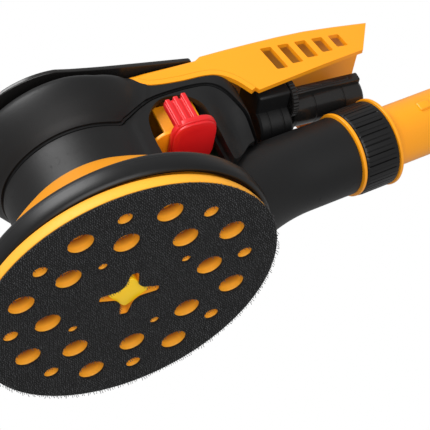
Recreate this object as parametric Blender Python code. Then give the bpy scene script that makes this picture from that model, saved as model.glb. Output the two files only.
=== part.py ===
"""A 150 mm random orbital sander: pad, eccentric drive, motor, housings, levers and exhaust.

Lengths are millimetres and angles degrees; MM turns lengths into metres when a mesh is made.
The tool frame has its origin on the motor's axis, in the plane of the hook face, with +X
towards the tail and +Z up through the motor.
"""
import math

import bmesh
import bpy
from mathutils import Matrix, Vector

MM = 0.001

# Facets round a circle
FINE = 48              # pad and outer skins
COARSE = 32            # inner pieces
SMALL = 20             # pins, shafts and bores

# Fits and seams
RUN_GAP = 0.3          # between pieces that turn or slide past each other
SEAM_GAP = 0.4         # between housings that meet at a visible joint line
SEAT_GAP = 0.2         # between fixed pieces that sit against each other

# Pad
PAD_RADIUS = 75.0
HOOK_THICKNESS = 1.8
FOAM_THICKNESS = 7.0
FOAM_INSET = 1.2       # foam's lower edge in from the hook face's
FOAM_TAPER = 2.0       # how much the foam narrows from there up
PLATE_INSET = 10.5     # backing plate's edge in from the pad's
PLATE_THICKNESS = 3.0
PLATE_HUB = 1.3
STAR_HOLE_RADIUS = 7.4
STAR_ARM_REACH = 15.5
STAR_ARM_WIDTH = 4.4
STAR_TURN = 5.0        # first arm's angle from the tail
# rings of dust holes: how many, circle's inset from the pad's edge, radius, first angle
DUST_HOLES = (
    (8, 19.8, 6.5, 13.9),
    (8, 35.1, 6.5, 36.4),
    (8, 17.3, 3.8, 36.4),
    (4, 44.3, 2.4, 58.9),
)

# Eccentric drive
ORBIT_OFFSET = 2.5     # half of the 5 mm orbit
ORBIT_ANGLE = 160.0    # where the pad's centre stands about the motor at rest
SPINDLE_RADIUS = 4.0
SPINDLE_BEARING_RADIUS = 11.0
SPINDLE_BEARING_WIDTH = 6.0
STUD_RADIUS = 2.5
STUD_HEAD_RADIUS = 8.0
HUB_WALL = 3.5         # counterweight's wall round the spindle bearings
COUNTERWEIGHT_REACH = 30.0

# Motor
SHAFT_RADIUS = 5.0
SHAFT_TIP_RADIUS = 4.0
MAGNET_RADIUS = 16.5
AIR_GAP = 1.0
STATOR_RADIUS = 31.0
STATOR_LENGTH = 24.0
WINDING_HEIGHT = 3.4
CARRIER_WEB = 4.3
FAN_RADIUS = 42.0
FAN_HEIGHT = 5.5
FAN_DISC = 1.8
FAN_BLADES = 9
BEARING_RADIUS_TOP = 11.0
BEARING_RADIUS_LOW = 13.0
BEARING_WIDTH = 7.0

# Housings
WALL = 2.6
SHROUD_INSET = 1.4     # shroud's skin in from the pad's edge
SHROUD_WALL = 4.6      # from the shroud's skin in to the lower housing's rim
SHROUD_HEIGHT = 12.4
WAIST_WALL = 6.5       # from the stator out to the lower housing's top edge
GROOVE_OUT = 0.5       # how much wider the head is at its joint line than at the waist
GROOVE_DROP = 29.1     # joint line round the head, below the crown
GRIP_RADIUS = 47.0     # widest part of the palm grip
GRIP_DROP = 8.5
CROWN_ROOM = 4.1       # between the top bearing and the crown's inside

SCREW_INSET = 2.8
SCREW_ANGLES = (100.0, 155.0, -155.0, -100.0)

# Outer skin of the neck and tail along X; heights are from the crown
BODY_STATIONS = (
    # x, half width, top, radius of its corner
    (14.0, 33.0, -1.0, 9.0),
    (28.0, 32.0, 1.4, 6.5),
    (42.5, 31.0, 2.4, 4.5),
    (57.5, 30.3, 2.8, 3.6),
    (70.9, 30.0, 3.3, 3.2),
    (73.5, 30.0, 5.3, 3.2),
    (87.5, 29.6, 6.4, 3.2),
    (102.5, 29.0, 7.4, 3.2),
    (117.5, 28.4, 8.2, 3.2),
    (132.5, 27.8, 8.5, 3.2),
    (147.5, 26.8, 8.1, 3.2),
    (157.5, 26.0, 7.7, 3.2),
    (169.5, 25.0, 7.2, 3.2),
)
SHARPEST_CORNER = 1.0
BODY_DEPTH = 60.5      # open underside of the neck, below the crown
# joint line of the lower and upper shells: along the neck and down behind it
SEAM_POINTS = (
    (-60.0, -29.1), (14.5, -29.1), (22.7, -25.9), (30.7, -20.9), (39.7, -16.3),
    (50.7, -14.3), (61.7, -13.5), (70.7, -14.7), (77.7, -20.5), (81.7, -29.5),
    (83.2, -40.5), (83.2, -70.5))
# edge of the tail's trim strip, from the top of the neck round to its underside
EDGE_POINTS = (
    (32.7, 24.5), (32.7, 3.0), (35.2, -3.0), (40.2, -7.2), (47.7, -8.7), (59.7, -9.1),
    (70.7, -8.9), (78.2, -10.7), (84.2, -15.9), (89.2, -24.1))
TAIL_TIP = (168.0, 6.4)
TAIL_LOW = (157.0, -11.8)
HOOD_EDGE = (93.3, -24.4)
TRIM_WIDTH = 3.2
FLOOR_END_X = 81.7
FLOOR_THICKNESS = 2.2
FLOOR_ROOM = 0.9       # between the control lever's bracket and the neck's floor
VENTS = 5
VENT_FIRST_X = 105.0
VENT_PITCH = 9.5
VENT_LENGTH = 6.0
VENT_TOP = 1.0         # from the crown
VENT_DEPTH = 15.0
VENT_SHORTER = 1.7     # each vent is this much shorter than the one in front
VENT_LEAN = 0.2        # how far a vent leans towards the tail as it goes down

# Exhaust duct and hose adaptor, along an axis that climbs towards the tail
DUCT_PITCH = 7.5
DUCT_START_X = 45.6
DUCT_DROP = 14.16      # start of the duct's axis, below the lower housing's top
DUCT_LENGTH = 84.0
DUCT_RADIUS = 19.9
DUCT_WALL = 2.4
COLLAR_RING = 1.9
COLLAR_LENGTH = 19.5
COLLAR_OUT = 1.7       # collar's skin outside the duct's
COLLAR_RIBS = 26
FLANGE_OUT = 2.4
FLANGE_LENGTH = 1.6
ADAPTOR_RADIUS = 15.4
ADAPTOR_LENGTH = 46.0
ADAPTOR_WALL = 2.2
LUG_SETBACK = 21.4     # small lug on the adaptor's tube, from the flange
SPIGOT_LENGTH = 16.0   # adaptor's sleeve inside the duct

# Start lever
LEVER_RADIUS = 41.2
LEVER_DISC_X = -5.0    # centre of the paddle's round end
LEVER_NECK_X = 4.0
LEVER_NECK_HALF = 39.4
LEVER_TAIL_X = 70.4
LEVER_TAIL_HALF = 27.6
LEVER_LIFT = 4.1       # lever's underside above the crown
LEVER_THICKNESS = 2.2
LEVER_PIVOT_X = 65.7
LEVER_PIVOT_DROP = 1.5
LEVER_PIN_RADIUS = 1.5
LEVER_PIN_HALF = 12.0
LEVER_LUG_HALF = 5.5
PLUNGER_X = 28.0
PLUNGER_RADIUS = 2.5
PLUNGER_LENGTH = 13.9
SWITCH_HALF = 8.0
SWITCH_HEIGHT = 9.8
SWITCH_DROP = 4.5      # switch's top below the crown
SPRING_X = -24.0
SPRING_RADIUS = 3.8
SPRING_WIRE = 0.45
SPRING_TURNS = 4
SPRING_DROP = 4.5      # spring's seat below the crown

# Control lever in its side recess
CONTROL_X = 49.7
CONTROL_Y = -21.2
CONTROL_THICKNESS = 4.6
CONTROL_REACH = 20.8
CONTROL_BACK = 9.0
CONTROL_HALF = 11.4
CONTROL_CORNER = 8.5
CONTROL_TAB_HEIGHT = 20.0
CONTROL_PIN_RADIUS = 2.0
BRACKET_PLATE = 2.0
BRACKET_FRONT = 11.4   # from the pivot out to the plate's edge
RECESS_FRONT_X = 28.7
RECESS_REAR_X = 63.7
RECESS_DROP = 16.9

# Mains inlet, electronics and speed dial under the hood
BOX_FRONT_X = 94.7
BOX_REAR_X = 112.1
BOX_HALF = 22.0
BOX_BARREL_RADIUS = 11.6
BOX_RISE = 18.0        # box's top above its barrel's axis
DIAL_RADIUS = 10.0
DIAL_THICKNESS = 3.4
DIAL_Y = -11.7
DIAL_RISE = 4.0
DIAL_TEETH = 30
DIAL_SHAFT_RADIUS = 2.0
INLET_FRONT_X = 117.1
INLET_REAR_X = 155.7
INLET_HALF = 11.5
INLET_RISE = 4.5       # inlet's top above its barrel's axis
INLET_BARREL_RADIUS = 9.0
SOCKET_RADIUS = 7.0
SOCKET_DEPTH = 22.0
PIN_RADIUS = 1.2
PIN_PITCH = 8.0
BOARD_FRONT_X = 41.7
BOARD_REAR_X = 80.5
BOARD_HALF = 19.0
BOARD_THICKNESS = 1.6
CAPACITOR_RADIUS = 6.0
CAPACITOR_LENGTH = 17.0
SINK_LENGTH = 12.0
SINK_HEIGHT = 14.2

# Colours
ORANGE = (0.95, 0.40, 0.012)
AMBER = (1.0, 0.55, 0.03)
BLACK = (0.012, 0.012, 0.013)
RUBBER = (0.018, 0.018, 0.019)
RED = (0.75, 0.014, 0.018)
STEEL = (0.55, 0.56, 0.58)
COPPER = (0.72, 0.33, 0.14)
GREEN = (0.02, 0.13, 0.05)

# Worked out from the above
FOAM_Z = HOOK_THICKNESS + SEAT_GAP
PLATE_Z = FOAM_Z + FOAM_THICKNESS + SEAT_GAP
PLATE_TOP = PLATE_Z + PLATE_THICKNESS
PLATE_RADIUS = PAD_RADIUS - PLATE_INSET
HUB_TOP = PLATE_TOP + PLATE_HUB
SPINDLE_FLANGE = HUB_TOP + SEAT_GAP
SPINDLE_SHOULDER = SPINDLE_FLANGE + 2.3
LOW_BEARING_Z = SPINDLE_SHOULDER + SEAT_GAP
HIGH_BEARING_Z = LOW_BEARING_Z + SPINDLE_BEARING_WIDTH + 0.6
BEARING_BORE_END = HIGH_BEARING_Z + SPINDLE_BEARING_WIDTH + SEAT_GAP
WEIGHT_TOP = BEARING_BORE_END + 4.2
FAN_Z = WEIGHT_TOP + 2 * RUN_GAP
FAN_TOP = FAN_Z + FAN_HEIGHT + FAN_DISC
CARRIER_Z = FAN_TOP + 0.8
CARRIER_SEAT_TOP = CARRIER_Z + 1.0 + BEARING_WIDTH
STATOR_Z = CARRIER_SEAT_TOP + CARRIER_WEB + 2 * SEAT_GAP + WINDING_HEIGHT
STATOR_BORE = MAGNET_RADIUS + AIR_GAP
TOP_BEARING_Z = STATOR_Z + STATOR_LENGTH + WINDING_HEIGHT + 1.4
SHROUD_RADIUS = PAD_RADIUS - SHROUD_INSET
SHROUD_BOTTOM = PLATE_Z + 0.4
SHROUD_TOP = SHROUD_BOTTOM + SHROUD_HEIGHT
RIM_RADIUS = SHROUD_RADIUS - SHROUD_WALL
BOWL_TOP = STATOR_Z - 7.0
BOWL_TOP_RADIUS = STATOR_RADIUS + WAIST_WALL
DOME_TOP = TOP_BEARING_Z + BEARING_WIDTH + CROWN_ROOM + WALL
GROOVE_Z = DOME_TOP - GROOVE_DROP
GROOVE_RADIUS = BOWL_TOP_RADIUS + GROOVE_OUT
GRIP_Z = DOME_TOP - GRIP_DROP
BODY_BOTTOM = DOME_TOP - BODY_DEPTH
SCREW_CIRCLE = BOWL_TOP_RADIUS - SCREW_INSET
PAD_X = ORBIT_OFFSET * math.cos(math.radians(ORBIT_ANGLE))
PAD_Y = ORBIT_OFFSET * math.sin(math.radians(ORBIT_ANGLE))
PITCH_COS = math.cos(math.radians(DUCT_PITCH))
PITCH_SIN = math.sin(math.radians(DUCT_PITCH))
DUCT_START_Z = BOWL_TOP - DUCT_DROP
DUCT_END_X = DUCT_START_X + DUCT_LENGTH * PITCH_COS
DUCT_END_Z = DUCT_START_Z + DUCT_LENGTH * PITCH_SIN
DUCT_BORE = DUCT_RADIUS - DUCT_WALL
COLLAR_RADIUS = DUCT_RADIUS + COLLAR_OUT
FLANGE_RADIUS = DUCT_RADIUS + FLANGE_OUT
ADAPTOR_END = COLLAR_RING + COLLAR_LENGTH + FLANGE_LENGTH + ADAPTOR_LENGTH
TAIL_X = DUCT_END_X + ADAPTOR_END * PITCH_COS + ADAPTOR_RADIUS * PITCH_SIN
MID_X = 0.5 * (TAIL_X + PAD_X - PAD_RADIUS)
LEVER_UNDERSIDE = DOME_TOP + LEVER_LIFT
LEVER_PIVOT_Z = DOME_TOP - LEVER_PIVOT_DROP
SPRING_FLOOR = DOME_TOP - SPRING_DROP
PLUNGER_TOP = LEVER_UNDERSIDE - RUN_GAP
PLUNGER_Z = PLUNGER_TOP - PLUNGER_LENGTH
RECESS_TOP = DOME_TOP - RECESS_DROP


def duct_skin(x, radius, y=0.0):
    """Height of the top of a tube of this radius round the duct's axis, at a place above it."""
    axis = DUCT_START_Z + (x - DUCT_START_X) * PITCH_SIN / PITCH_COS
    return axis + math.sqrt(radius ** 2 - y ** 2) / PITCH_COS


CONTROL_BOTTOM = RUN_GAP + duct_skin(
    CONTROL_X + CONTROL_HALF, DUCT_RADIUS, CONTROL_Y + CONTROL_BACK)
CONTROL_TAB_TOP = CONTROL_BOTTOM + CONTROL_TAB_HEIGHT
BRACKET_Z = CONTROL_BOTTOM + CONTROL_THICKNESS + RUN_GAP
BRACKET_TOP = BRACKET_Z + BRACKET_PLATE
FLOOR_Z = BRACKET_TOP + FLOOR_ROOM
BOX_BARREL_Z = duct_skin(BOX_REAR_X, DUCT_RADIUS) + 0.7 + BOX_BARREL_RADIUS
DIAL_Z = BOX_BARREL_Z + DIAL_RISE
INLET_BARREL_Z = duct_skin(INLET_REAR_X, FLANGE_RADIUS) + RUN_GAP + INLET_BARREL_RADIUS


# ---------------------------------------------------------------- tools

def start_clean():
    for old in list(bpy.data.objects):
        bpy.data.objects.remove(old, do_unlink=True)


def finish_of(name, colour, roughness, metallic):
    shade = bpy.data.materials.new(name)
    shade.use_nodes = True
    node = shade.node_tree.nodes["Principled BSDF"]
    node.inputs["Base Color"].default_value = (*colour, 1.0)
    node.inputs["Roughness"].default_value = roughness
    node.inputs["Metallic"].default_value = metallic
    return shade


def make(name, bm, look, parent):
    """Turn a bmesh drawn in the parent's frame, in mm, into an object with its own material."""
    bmesh.ops.remove_doubles(bm, verts=bm.verts, dist=0.0005)
    bmesh.ops.recalc_face_normals(bm, faces=bm.faces)
    bmesh.ops.scale(bm, vec=(MM, MM, MM), verts=bm.verts)
    mesh = bpy.data.meshes.new(name)
    bm.to_mesh(mesh)
    bm.free()
    thing = bpy.data.objects.new(name, mesh)
    bpy.context.collection.objects.link(thing)
    thing.parent = parent
    if look:
        mesh.materials.append(finish_of(name, *look))
    return thing


def tool(name, bm, parent):
    """A cutter or an added volume: it shapes other objects and is no piece itself."""
    thing = make(name, bm, None, parent)
    thing.hide_render = True
    thing.display_type = "WIRE"
    return thing


def shape(target, how, *others):
    for other in others:
        step = target.modifiers.new(other.name, "BOOLEAN")
        step.solver = "EXACT"
        step.operation = how
        step.object = other
    return target


def cut(target, *others):
    return shape(target, "DIFFERENCE", *others)


def add(target, *others):
    return shape(target, "UNION", *others)


def keep(target, *others):
    return shape(target, "INTERSECT", *others)


def frame(name, parent, x=0.0, y=0.0, z=0.0, turn=None):
    """An empty on a joint's axis or at the origin of a group."""
    mark = bpy.data.objects.new(name, None)
    bpy.context.collection.objects.link(mark)
    mark.parent = parent
    mark.location = Vector((x, y, z)) * MM
    if turn:
        mark.rotation_euler = turn
    return mark


def turned(profile, segments=COARSE, at=(0.0, 0.0), phase=0.0):
    """A closed outline of (radius, height) points, spun once round an upright axis."""
    bm = bmesh.new()
    points = [bm.verts.new((radius, 0.0, height)) for radius, height in profile]
    edges = [bm.edges.new((points[i - 1], points[i])) for i in range(len(points))]
    bmesh.ops.spin(
        bm, geom=points + edges, cent=(0, 0, 0), axis=(0, 0, 1),
        angle=2 * math.pi, steps=segments, use_merge=True)
    bmesh.ops.rotate(bm, cent=(0, 0, 0), matrix=Matrix.Rotation(phase, 3, "Z"), verts=bm.verts)
    bmesh.ops.translate(bm, vec=(at[0], at[1], 0.0), verts=bm.verts)
    return bm


def ring(inner, outer, low, high, segments=COARSE, at=(0.0, 0.0)):
    return turned(((inner, low), (outer, low), (outer, high), (inner, high)), segments, at)


def rod(radius, low, high, segments=SMALL, at=(0.0, 0.0)):
    bm = bmesh.new()
    bmesh.ops.create_cone(
        bm, cap_ends=True, segments=segments, radius1=radius, radius2=radius, depth=high - low)
    bmesh.ops.translate(bm, vec=(at[0], at[1], 0.5 * (low + high)), verts=bm.verts)
    return bm


def lathe_rod(profile, segments=COARSE, at=(0.0, 0.0)):
    """A solid turned piece: (radius, height) points from the bottom centre up to the top."""
    bm = bmesh.new()
    rings = []
    for radius, height in profile:
        rings.append([
            bm.verts.new((
                at[0] + radius * math.cos(2 * math.pi * k / segments),
                at[1] + radius * math.sin(2 * math.pi * k / segments), height))
            for k in range(segments)])
    skin(bm, rings)
    return bm


def skin(bm, rings):
    """Close a solid over a row of rings that each have the same number of points."""
    count = len(rings[0])
    for low, high in zip(rings, rings[1:]):
        for k in range(count):
            bm.faces.new((low[k - 1], low[k], high[k], high[k - 1]))
    bm.faces.new(rings[0])
    bm.faces.new(rings[-1])


def block(x0, x1, y0, y1, z0, z1):
    bm = bmesh.new()
    bmesh.ops.create_cube(bm, size=1.0)
    bmesh.ops.scale(bm, vec=(x1 - x0, y1 - y0, z1 - z0), verts=bm.verts)
    bmesh.ops.translate(
        bm, vec=(0.5 * (x0 + x1), 0.5 * (y0 + y1), 0.5 * (z0 + z1)), verts=bm.verts)
    return bm


def plate(outline, low, high, upright="Z"):
    """Extrude a closed outline: in XY along Z, or, with upright "Y", in XZ along Y."""
    bm = bmesh.new()
    if upright == "Z":
        points = [bm.verts.new((a, b, low)) for a, b in outline]
        step = Vector((0, 0, high - low))
    else:
        points = [bm.verts.new((a, low, b)) for a, b in outline]
        step = Vector((0, high - low, 0))
    face = bm.faces.new(points)
    grown = bmesh.ops.extrude_face_region(bm, geom=[face])
    moved = [item for item in grown["geom"] if isinstance(item, bmesh.types.BMVert)]
    bmesh.ops.translate(bm, vec=step, verts=moved)
    return bm


def lay_along_x(bm, x, y, z):
    """Turn a piece drawn about Z so that its axis runs along X through a point."""
    bmesh.ops.rotate(
        bm, cent=(0, 0, 0), matrix=Matrix.Rotation(math.pi / 2, 3, "Y"), verts=bm.verts)
    bmesh.ops.translate(bm, vec=(x, y, z), verts=bm.verts)
    return bm


def lay_along_y(bm, x, y, z):
    bmesh.ops.rotate(
        bm, cent=(0, 0, 0), matrix=Matrix.Rotation(-math.pi / 2, 3, "X"), verts=bm.verts)
    bmesh.ops.translate(bm, vec=(x, y, z), verts=bm.verts)
    return bm


def smooth_path(points, steps=4):
    """A Catmull-Rom curve through points, with its ends kept."""
    ends = [points[0]] + list(points) + [points[-1]]
    path = []
    for a, b, c, d in zip(ends, ends[1:], ends[2:], ends[3:]):
        for k in range(steps):
            t = k / steps
            path.append(tuple(
                0.5 * (2 * q + (r - p) * t + (2 * p - 5 * q + 4 * r - s) * t * t
                       + (3 * q - p - 3 * r + s) * t ** 3)
                for p, q, r, s in zip(a, b, c, d)))
    path.append(tuple(points[-1]))
    return path


def beside(path, distance):
    """The same path moved sideways, to its left when distance is positive."""
    moved = []
    for k, (x, z) in enumerate(path):
        x0, z0 = path[max(k - 1, 0)]
        x1, z1 = path[min(k + 1, len(path) - 1)]
        along = math.hypot(x1 - x0, z1 - z0)
        moved.append((x - distance * (z1 - z0) / along, z + distance * (x1 - x0) / along))
    return moved


# ---------------------------------------------------------------- shared shapes

def bowl_outline(grow=0.0):
    """Outer skin of the lower housing, from its rim up to the motor."""
    low = SHROUD_TOP + SEAM_GAP
    outline = [(RIM_RADIUS + grow, low - grow)]
    for across, up in ((0.25, 0.24), (0.5, 0.5), (0.75, 0.76), (1.0, 1.0)):
        outline.append((RIM_RADIUS + across * (BOWL_TOP_RADIUS - RIM_RADIUS) + grow,
                        low + up * (BOWL_TOP - low) + grow))
    return outline


def head_outline(inset=0.0):
    """Outer skin of the head from the waist to the crown, as (radius, height)."""
    low = BOWL_TOP + SEAM_GAP
    outline = [
        (BOWL_TOP_RADIUS, low),
        (BOWL_TOP_RADIUS + 0.4, 0.5 * (low + GROOVE_Z)),
        (GROOVE_RADIUS, GROOVE_Z),
        (GROOVE_RADIUS + 3.2, GROOVE_Z + 5.5),
        (GRIP_RADIUS - 1.9, GRIP_Z - 7.0),
        (GRIP_RADIUS, GRIP_Z),
        (GRIP_RADIUS - 0.6, GRIP_Z + 3.6),
        (GRIP_RADIUS - 4.0, DOME_TOP - 2.2),
        (GRIP_RADIUS - 12.0, DOME_TOP - 0.4),
        (GRIP_RADIUS - 24.0, DOME_TOP),
    ]
    if not inset:
        return outline
    inner = [(radius - inset, height) for radius, height in outline[:7]]
    return inner + [
        (GRIP_RADIUS - 4.0 - inset, DOME_TOP - 1.6 - inset),
        (GRIP_RADIUS - 12.0, DOME_TOP - inset)]


def body_ring(bm, x, half, top, bottom, corner):
    """One section of the neck and tail: square below, rounded at the top corners."""
    points = [bm.verts.new((x, -half, bottom)), bm.verts.new((x, half, bottom))]
    for side in (1, -1):
        for k in range(6):
            turn = math.radians(18 * k)
            if side < 0:
                turn = math.pi / 2 - turn
            y = side * (half - corner + corner * math.cos(turn))
            points.append(bm.verts.new((x, y, top - corner + corner * math.sin(turn))))
    return points


def body_solid(inset=0.0, start=0, bottom=BODY_BOTTOM, end=0.0):
    bm = bmesh.new()
    rings = [
        body_ring(bm, x + (end if x == BODY_STATIONS[-1][0] else 0.0),
                  half - inset, DOME_TOP + top - inset, bottom,
                  max(corner - inset, SHARPEST_CORNER))
        for x, half, top, corner in BODY_STATIONS[start:]]
    skin(bm, rings)
    return bm


def from_crown(points):
    return [(x, DOME_TOP + height) for x, height in points]


SEAM = smooth_path(from_crown(SEAM_POINTS))
EDGE = smooth_path(from_crown(EDGE_POINTS))


def region(name, outline, parent, half=60.0):
    return tool(name, plate(outline, -half, half, upright="Y"), parent)


# ---------------------------------------------------------------- pad

def pad(axis):
    hole_cutters = []
    for ring_index, (count, inset, radius, first) in enumerate(DUST_HOLES):
        circle = PAD_RADIUS - inset
        for k in range(count):
            turn = math.radians(first + 360.0 * k / count)
            spot = (circle * math.cos(turn), circle * math.sin(turn))
            hole_cutters.append(tool(
                f"dust_hole_{ring_index}_{k}",
                rod(radius, -2.0, PLATE_TOP + 2.0, segments=10, at=spot), axis))
    arms = []
    for k in range(8):
        reach = STAR_ARM_REACH if k % 2 == 0 else STAR_HOLE_RADIUS
        half = math.atan(0.5 * STAR_ARM_WIDTH / reach) if k % 2 == 0 else math.radians(14)
        for side in (-1, 1):
            turn = math.radians(45.0 * k + STAR_TURN) + side * half
            arms.append((reach * math.cos(turn), reach * math.sin(turn)))
    star = tool("star_hole", plate(arms, -2.0, PLATE_Z - SEAT_GAP), axis)

    hooks = make("hook_face", rod(PAD_RADIUS, 0.0, HOOK_THICKNESS, segments=FINE),
                 (BLACK, 0.95, 0.0), axis)
    cut(hooks, star, *hole_cutters)

    foam = make("pad_foam", lathe_rod((
        (PAD_RADIUS - FOAM_INSET, FOAM_Z),
        (PAD_RADIUS - FOAM_INSET - FOAM_TAPER, FOAM_Z + FOAM_THICKNESS)), segments=FINE),
        (AMBER, 0.85, 0.0), axis)
    cut(foam, star, *hole_cutters)

    backing = make("pad_plate", lathe_rod((
        (PLATE_RADIUS, PLATE_Z), (PLATE_RADIUS, PLATE_TOP), (13.0, PLATE_TOP),
        (12.0, HUB_TOP)), segments=FINE), (ORANGE, 0.5, 0.0), axis)
    pocket = tool("stud_pocket", rod(STUD_HEAD_RADIUS + SEAT_GAP, PLATE_Z + 1.6, 30.0), axis)
    cut(backing, pocket, *[c for c in hole_cutters if not c.name.startswith("dust_hole_3")])

    make("pad_stud", lathe_rod((
        (STUD_HEAD_RADIUS, PLATE_Z + 1.6 + SEAT_GAP), (STUD_HEAD_RADIUS, HUB_TOP - SEAT_GAP),
        (STUD_RADIUS, HUB_TOP - SEAT_GAP), (STUD_RADIUS, HUB_TOP + 10.5)), segments=COARSE),
        (STEEL, 0.35, 1.0), axis)

    spindle = make("pad_spindle", lathe_rod((
        (7.4, SPINDLE_FLANGE), (7.4, SPINDLE_SHOULDER), (SPINDLE_RADIUS, SPINDLE_SHOULDER),
        (SPINDLE_RADIUS, BEARING_BORE_END - RUN_GAP)), segments=COARSE),
        (STEEL, 0.3, 1.0), axis)
    cut(spindle, tool("stud_thread", rod(STUD_RADIUS + SEAT_GAP, 0.0, HUB_TOP + 11.0), axis))


# ---------------------------------------------------------------- eccentric and motor

def rotor(motor):
    pad_spot = (PAD_X, PAD_Y)
    hub_low = LOW_BEARING_Z - SEAT_GAP
    hub = SPINDLE_BEARING_RADIUS + ORBIT_OFFSET + HUB_WALL

    weight = make("counterweight", rod(hub, hub_low, WEIGHT_TOP, segments=FINE),
                  ((0.20, 0.20, 0.21), 0.5, 1.0), motor)
    heavy_side = math.radians(ORBIT_ANGLE + 180.0)
    inner = hub - 5.0
    lump = [(inner * math.cos(heavy_side + s), inner * math.sin(heavy_side + s))
            for s in (1.2, -1.2)]
    lump += [(COUNTERWEIGHT_REACH * math.cos(heavy_side + math.radians(s)),
              COUNTERWEIGHT_REACH * math.sin(heavy_side + math.radians(s)))
             for s in range(-65, 66, 13)]
    add(weight, tool("counterweight_lump", plate(lump, hub_low + 3.0, WEIGHT_TOP - 3.0), motor))
    cut(weight,
        tool("bearing_bore", rod(SPINDLE_BEARING_RADIUS + SEAT_GAP, 0.0, BEARING_BORE_END,
                                 at=pad_spot), motor),
        tool("shaft_bore", rod(SHAFT_RADIUS + SEAT_GAP, BEARING_BORE_END - 1.0, 60.0), motor))

    for name, low in (("spindle_bearing_lower", LOW_BEARING_Z),
                      ("spindle_bearing_upper", HIGH_BEARING_Z)):
        make(name, ring(SPINDLE_RADIUS + SEAT_GAP, SPINDLE_BEARING_RADIUS, low,
                        low + SPINDLE_BEARING_WIDTH, segments=COARSE, at=pad_spot),
             (STEEL, 0.25, 1.0), motor)

    fan_plate = FAN_Z + FAN_HEIGHT
    fan = make("cooling_fan", ring(SHAFT_RADIUS + SEAT_GAP, 11.0, FAN_Z, FAN_TOP),
               ((0.03, 0.03, 0.035), 0.5, 0.0), motor)
    disc = tool("fan_disc", ring(SHAFT_RADIUS + 2.0, FAN_RADIUS, fan_plate, FAN_TOP), motor)
    blades = []
    for k in range(FAN_BLADES):
        bm = block(9.0, FAN_RADIUS - 1.0, -0.7, 0.7, FAN_Z + 0.4, fan_plate + 0.8)
        bmesh.ops.rotate(bm, cent=(14.0, 0, 0), matrix=Matrix.Rotation(0.35, 3, "Z"),
                         verts=bm.verts)
        bmesh.ops.rotate(bm, cent=(0, 0, 0), verts=bm.verts,
                         matrix=Matrix.Rotation(2 * math.pi * k / FAN_BLADES, 3, "Z"))
        blades.append(tool(f"fan_blade_{k}", bm, motor))
    add(fan, disc, *blades)

    make("motor_shaft", lathe_rod((
        (SHAFT_RADIUS, BEARING_BORE_END + SEAT_GAP), (SHAFT_RADIUS, TOP_BEARING_Z - SEAT_GAP),
        (SHAFT_TIP_RADIUS, TOP_BEARING_Z - SEAT_GAP),
        (SHAFT_TIP_RADIUS, TOP_BEARING_Z + BEARING_WIDTH)), segments=COARSE),
        (STEEL, 0.25, 1.0), motor)
    make("rotor_magnet", ring(SHAFT_RADIUS + SEAT_GAP, MAGNET_RADIUS, STATOR_Z,
                              STATOR_Z + STATOR_LENGTH), ((0.18, 0.18, 0.2), 0.4, 1.0), motor)


def stator(tool_frame):
    make("motor_stator", ring(STATOR_BORE, STATOR_RADIUS, STATOR_Z, STATOR_Z + STATOR_LENGTH),
         ((0.25, 0.25, 0.27), 0.45, 1.0), tool_frame)
    make("winding_lower", ring(STATOR_BORE + 1.0, STATOR_RADIUS - 2.5,
                               STATOR_Z - SEAT_GAP - WINDING_HEIGHT, STATOR_Z - SEAT_GAP),
         (COPPER, 0.35, 1.0), tool_frame)
    winding = STATOR_Z + STATOR_LENGTH + SEAT_GAP
    make("winding_upper", ring(STATOR_BORE + 1.0, STATOR_RADIUS - 2.5, winding,
                               winding + WINDING_HEIGHT), (COPPER, 0.35, 1.0), tool_frame)

    carrier_top = STATOR_Z - 2 * SEAT_GAP - WINDING_HEIGHT
    seat_top = CARRIER_SEAT_TOP
    boss = BEARING_RADIUS_LOW + 3.0
    make("bearing_carrier", turned((
        (BEARING_RADIUS_LOW + SEAT_GAP, CARRIER_Z), (boss, CARRIER_Z),
        (boss, seat_top + 0.4), (STATOR_RADIUS, seat_top + 0.4), (STATOR_RADIUS, carrier_top),
        (SHAFT_RADIUS + 1.5, carrier_top), (SHAFT_RADIUS + 1.5, seat_top),
        (BEARING_RADIUS_LOW + SEAT_GAP, seat_top))), ((0.6, 0.61, 0.63), 0.45, 1.0), tool_frame)
    make("motor_bearing_lower", ring(SHAFT_RADIUS + SEAT_GAP, BEARING_RADIUS_LOW,
                                     CARRIER_Z + 0.4, seat_top - SEAT_GAP, segments=COARSE),
         (STEEL, 0.25, 1.0), tool_frame)
    make("motor_bearing_upper", ring(SHAFT_TIP_RADIUS + SEAT_GAP, BEARING_RADIUS_TOP,
                                     TOP_BEARING_Z, TOP_BEARING_Z + BEARING_WIDTH,
                                     segments=COARSE),
         (STEEL, 0.25, 1.0), tool_frame)


# ---------------------------------------------------------------- housings

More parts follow.
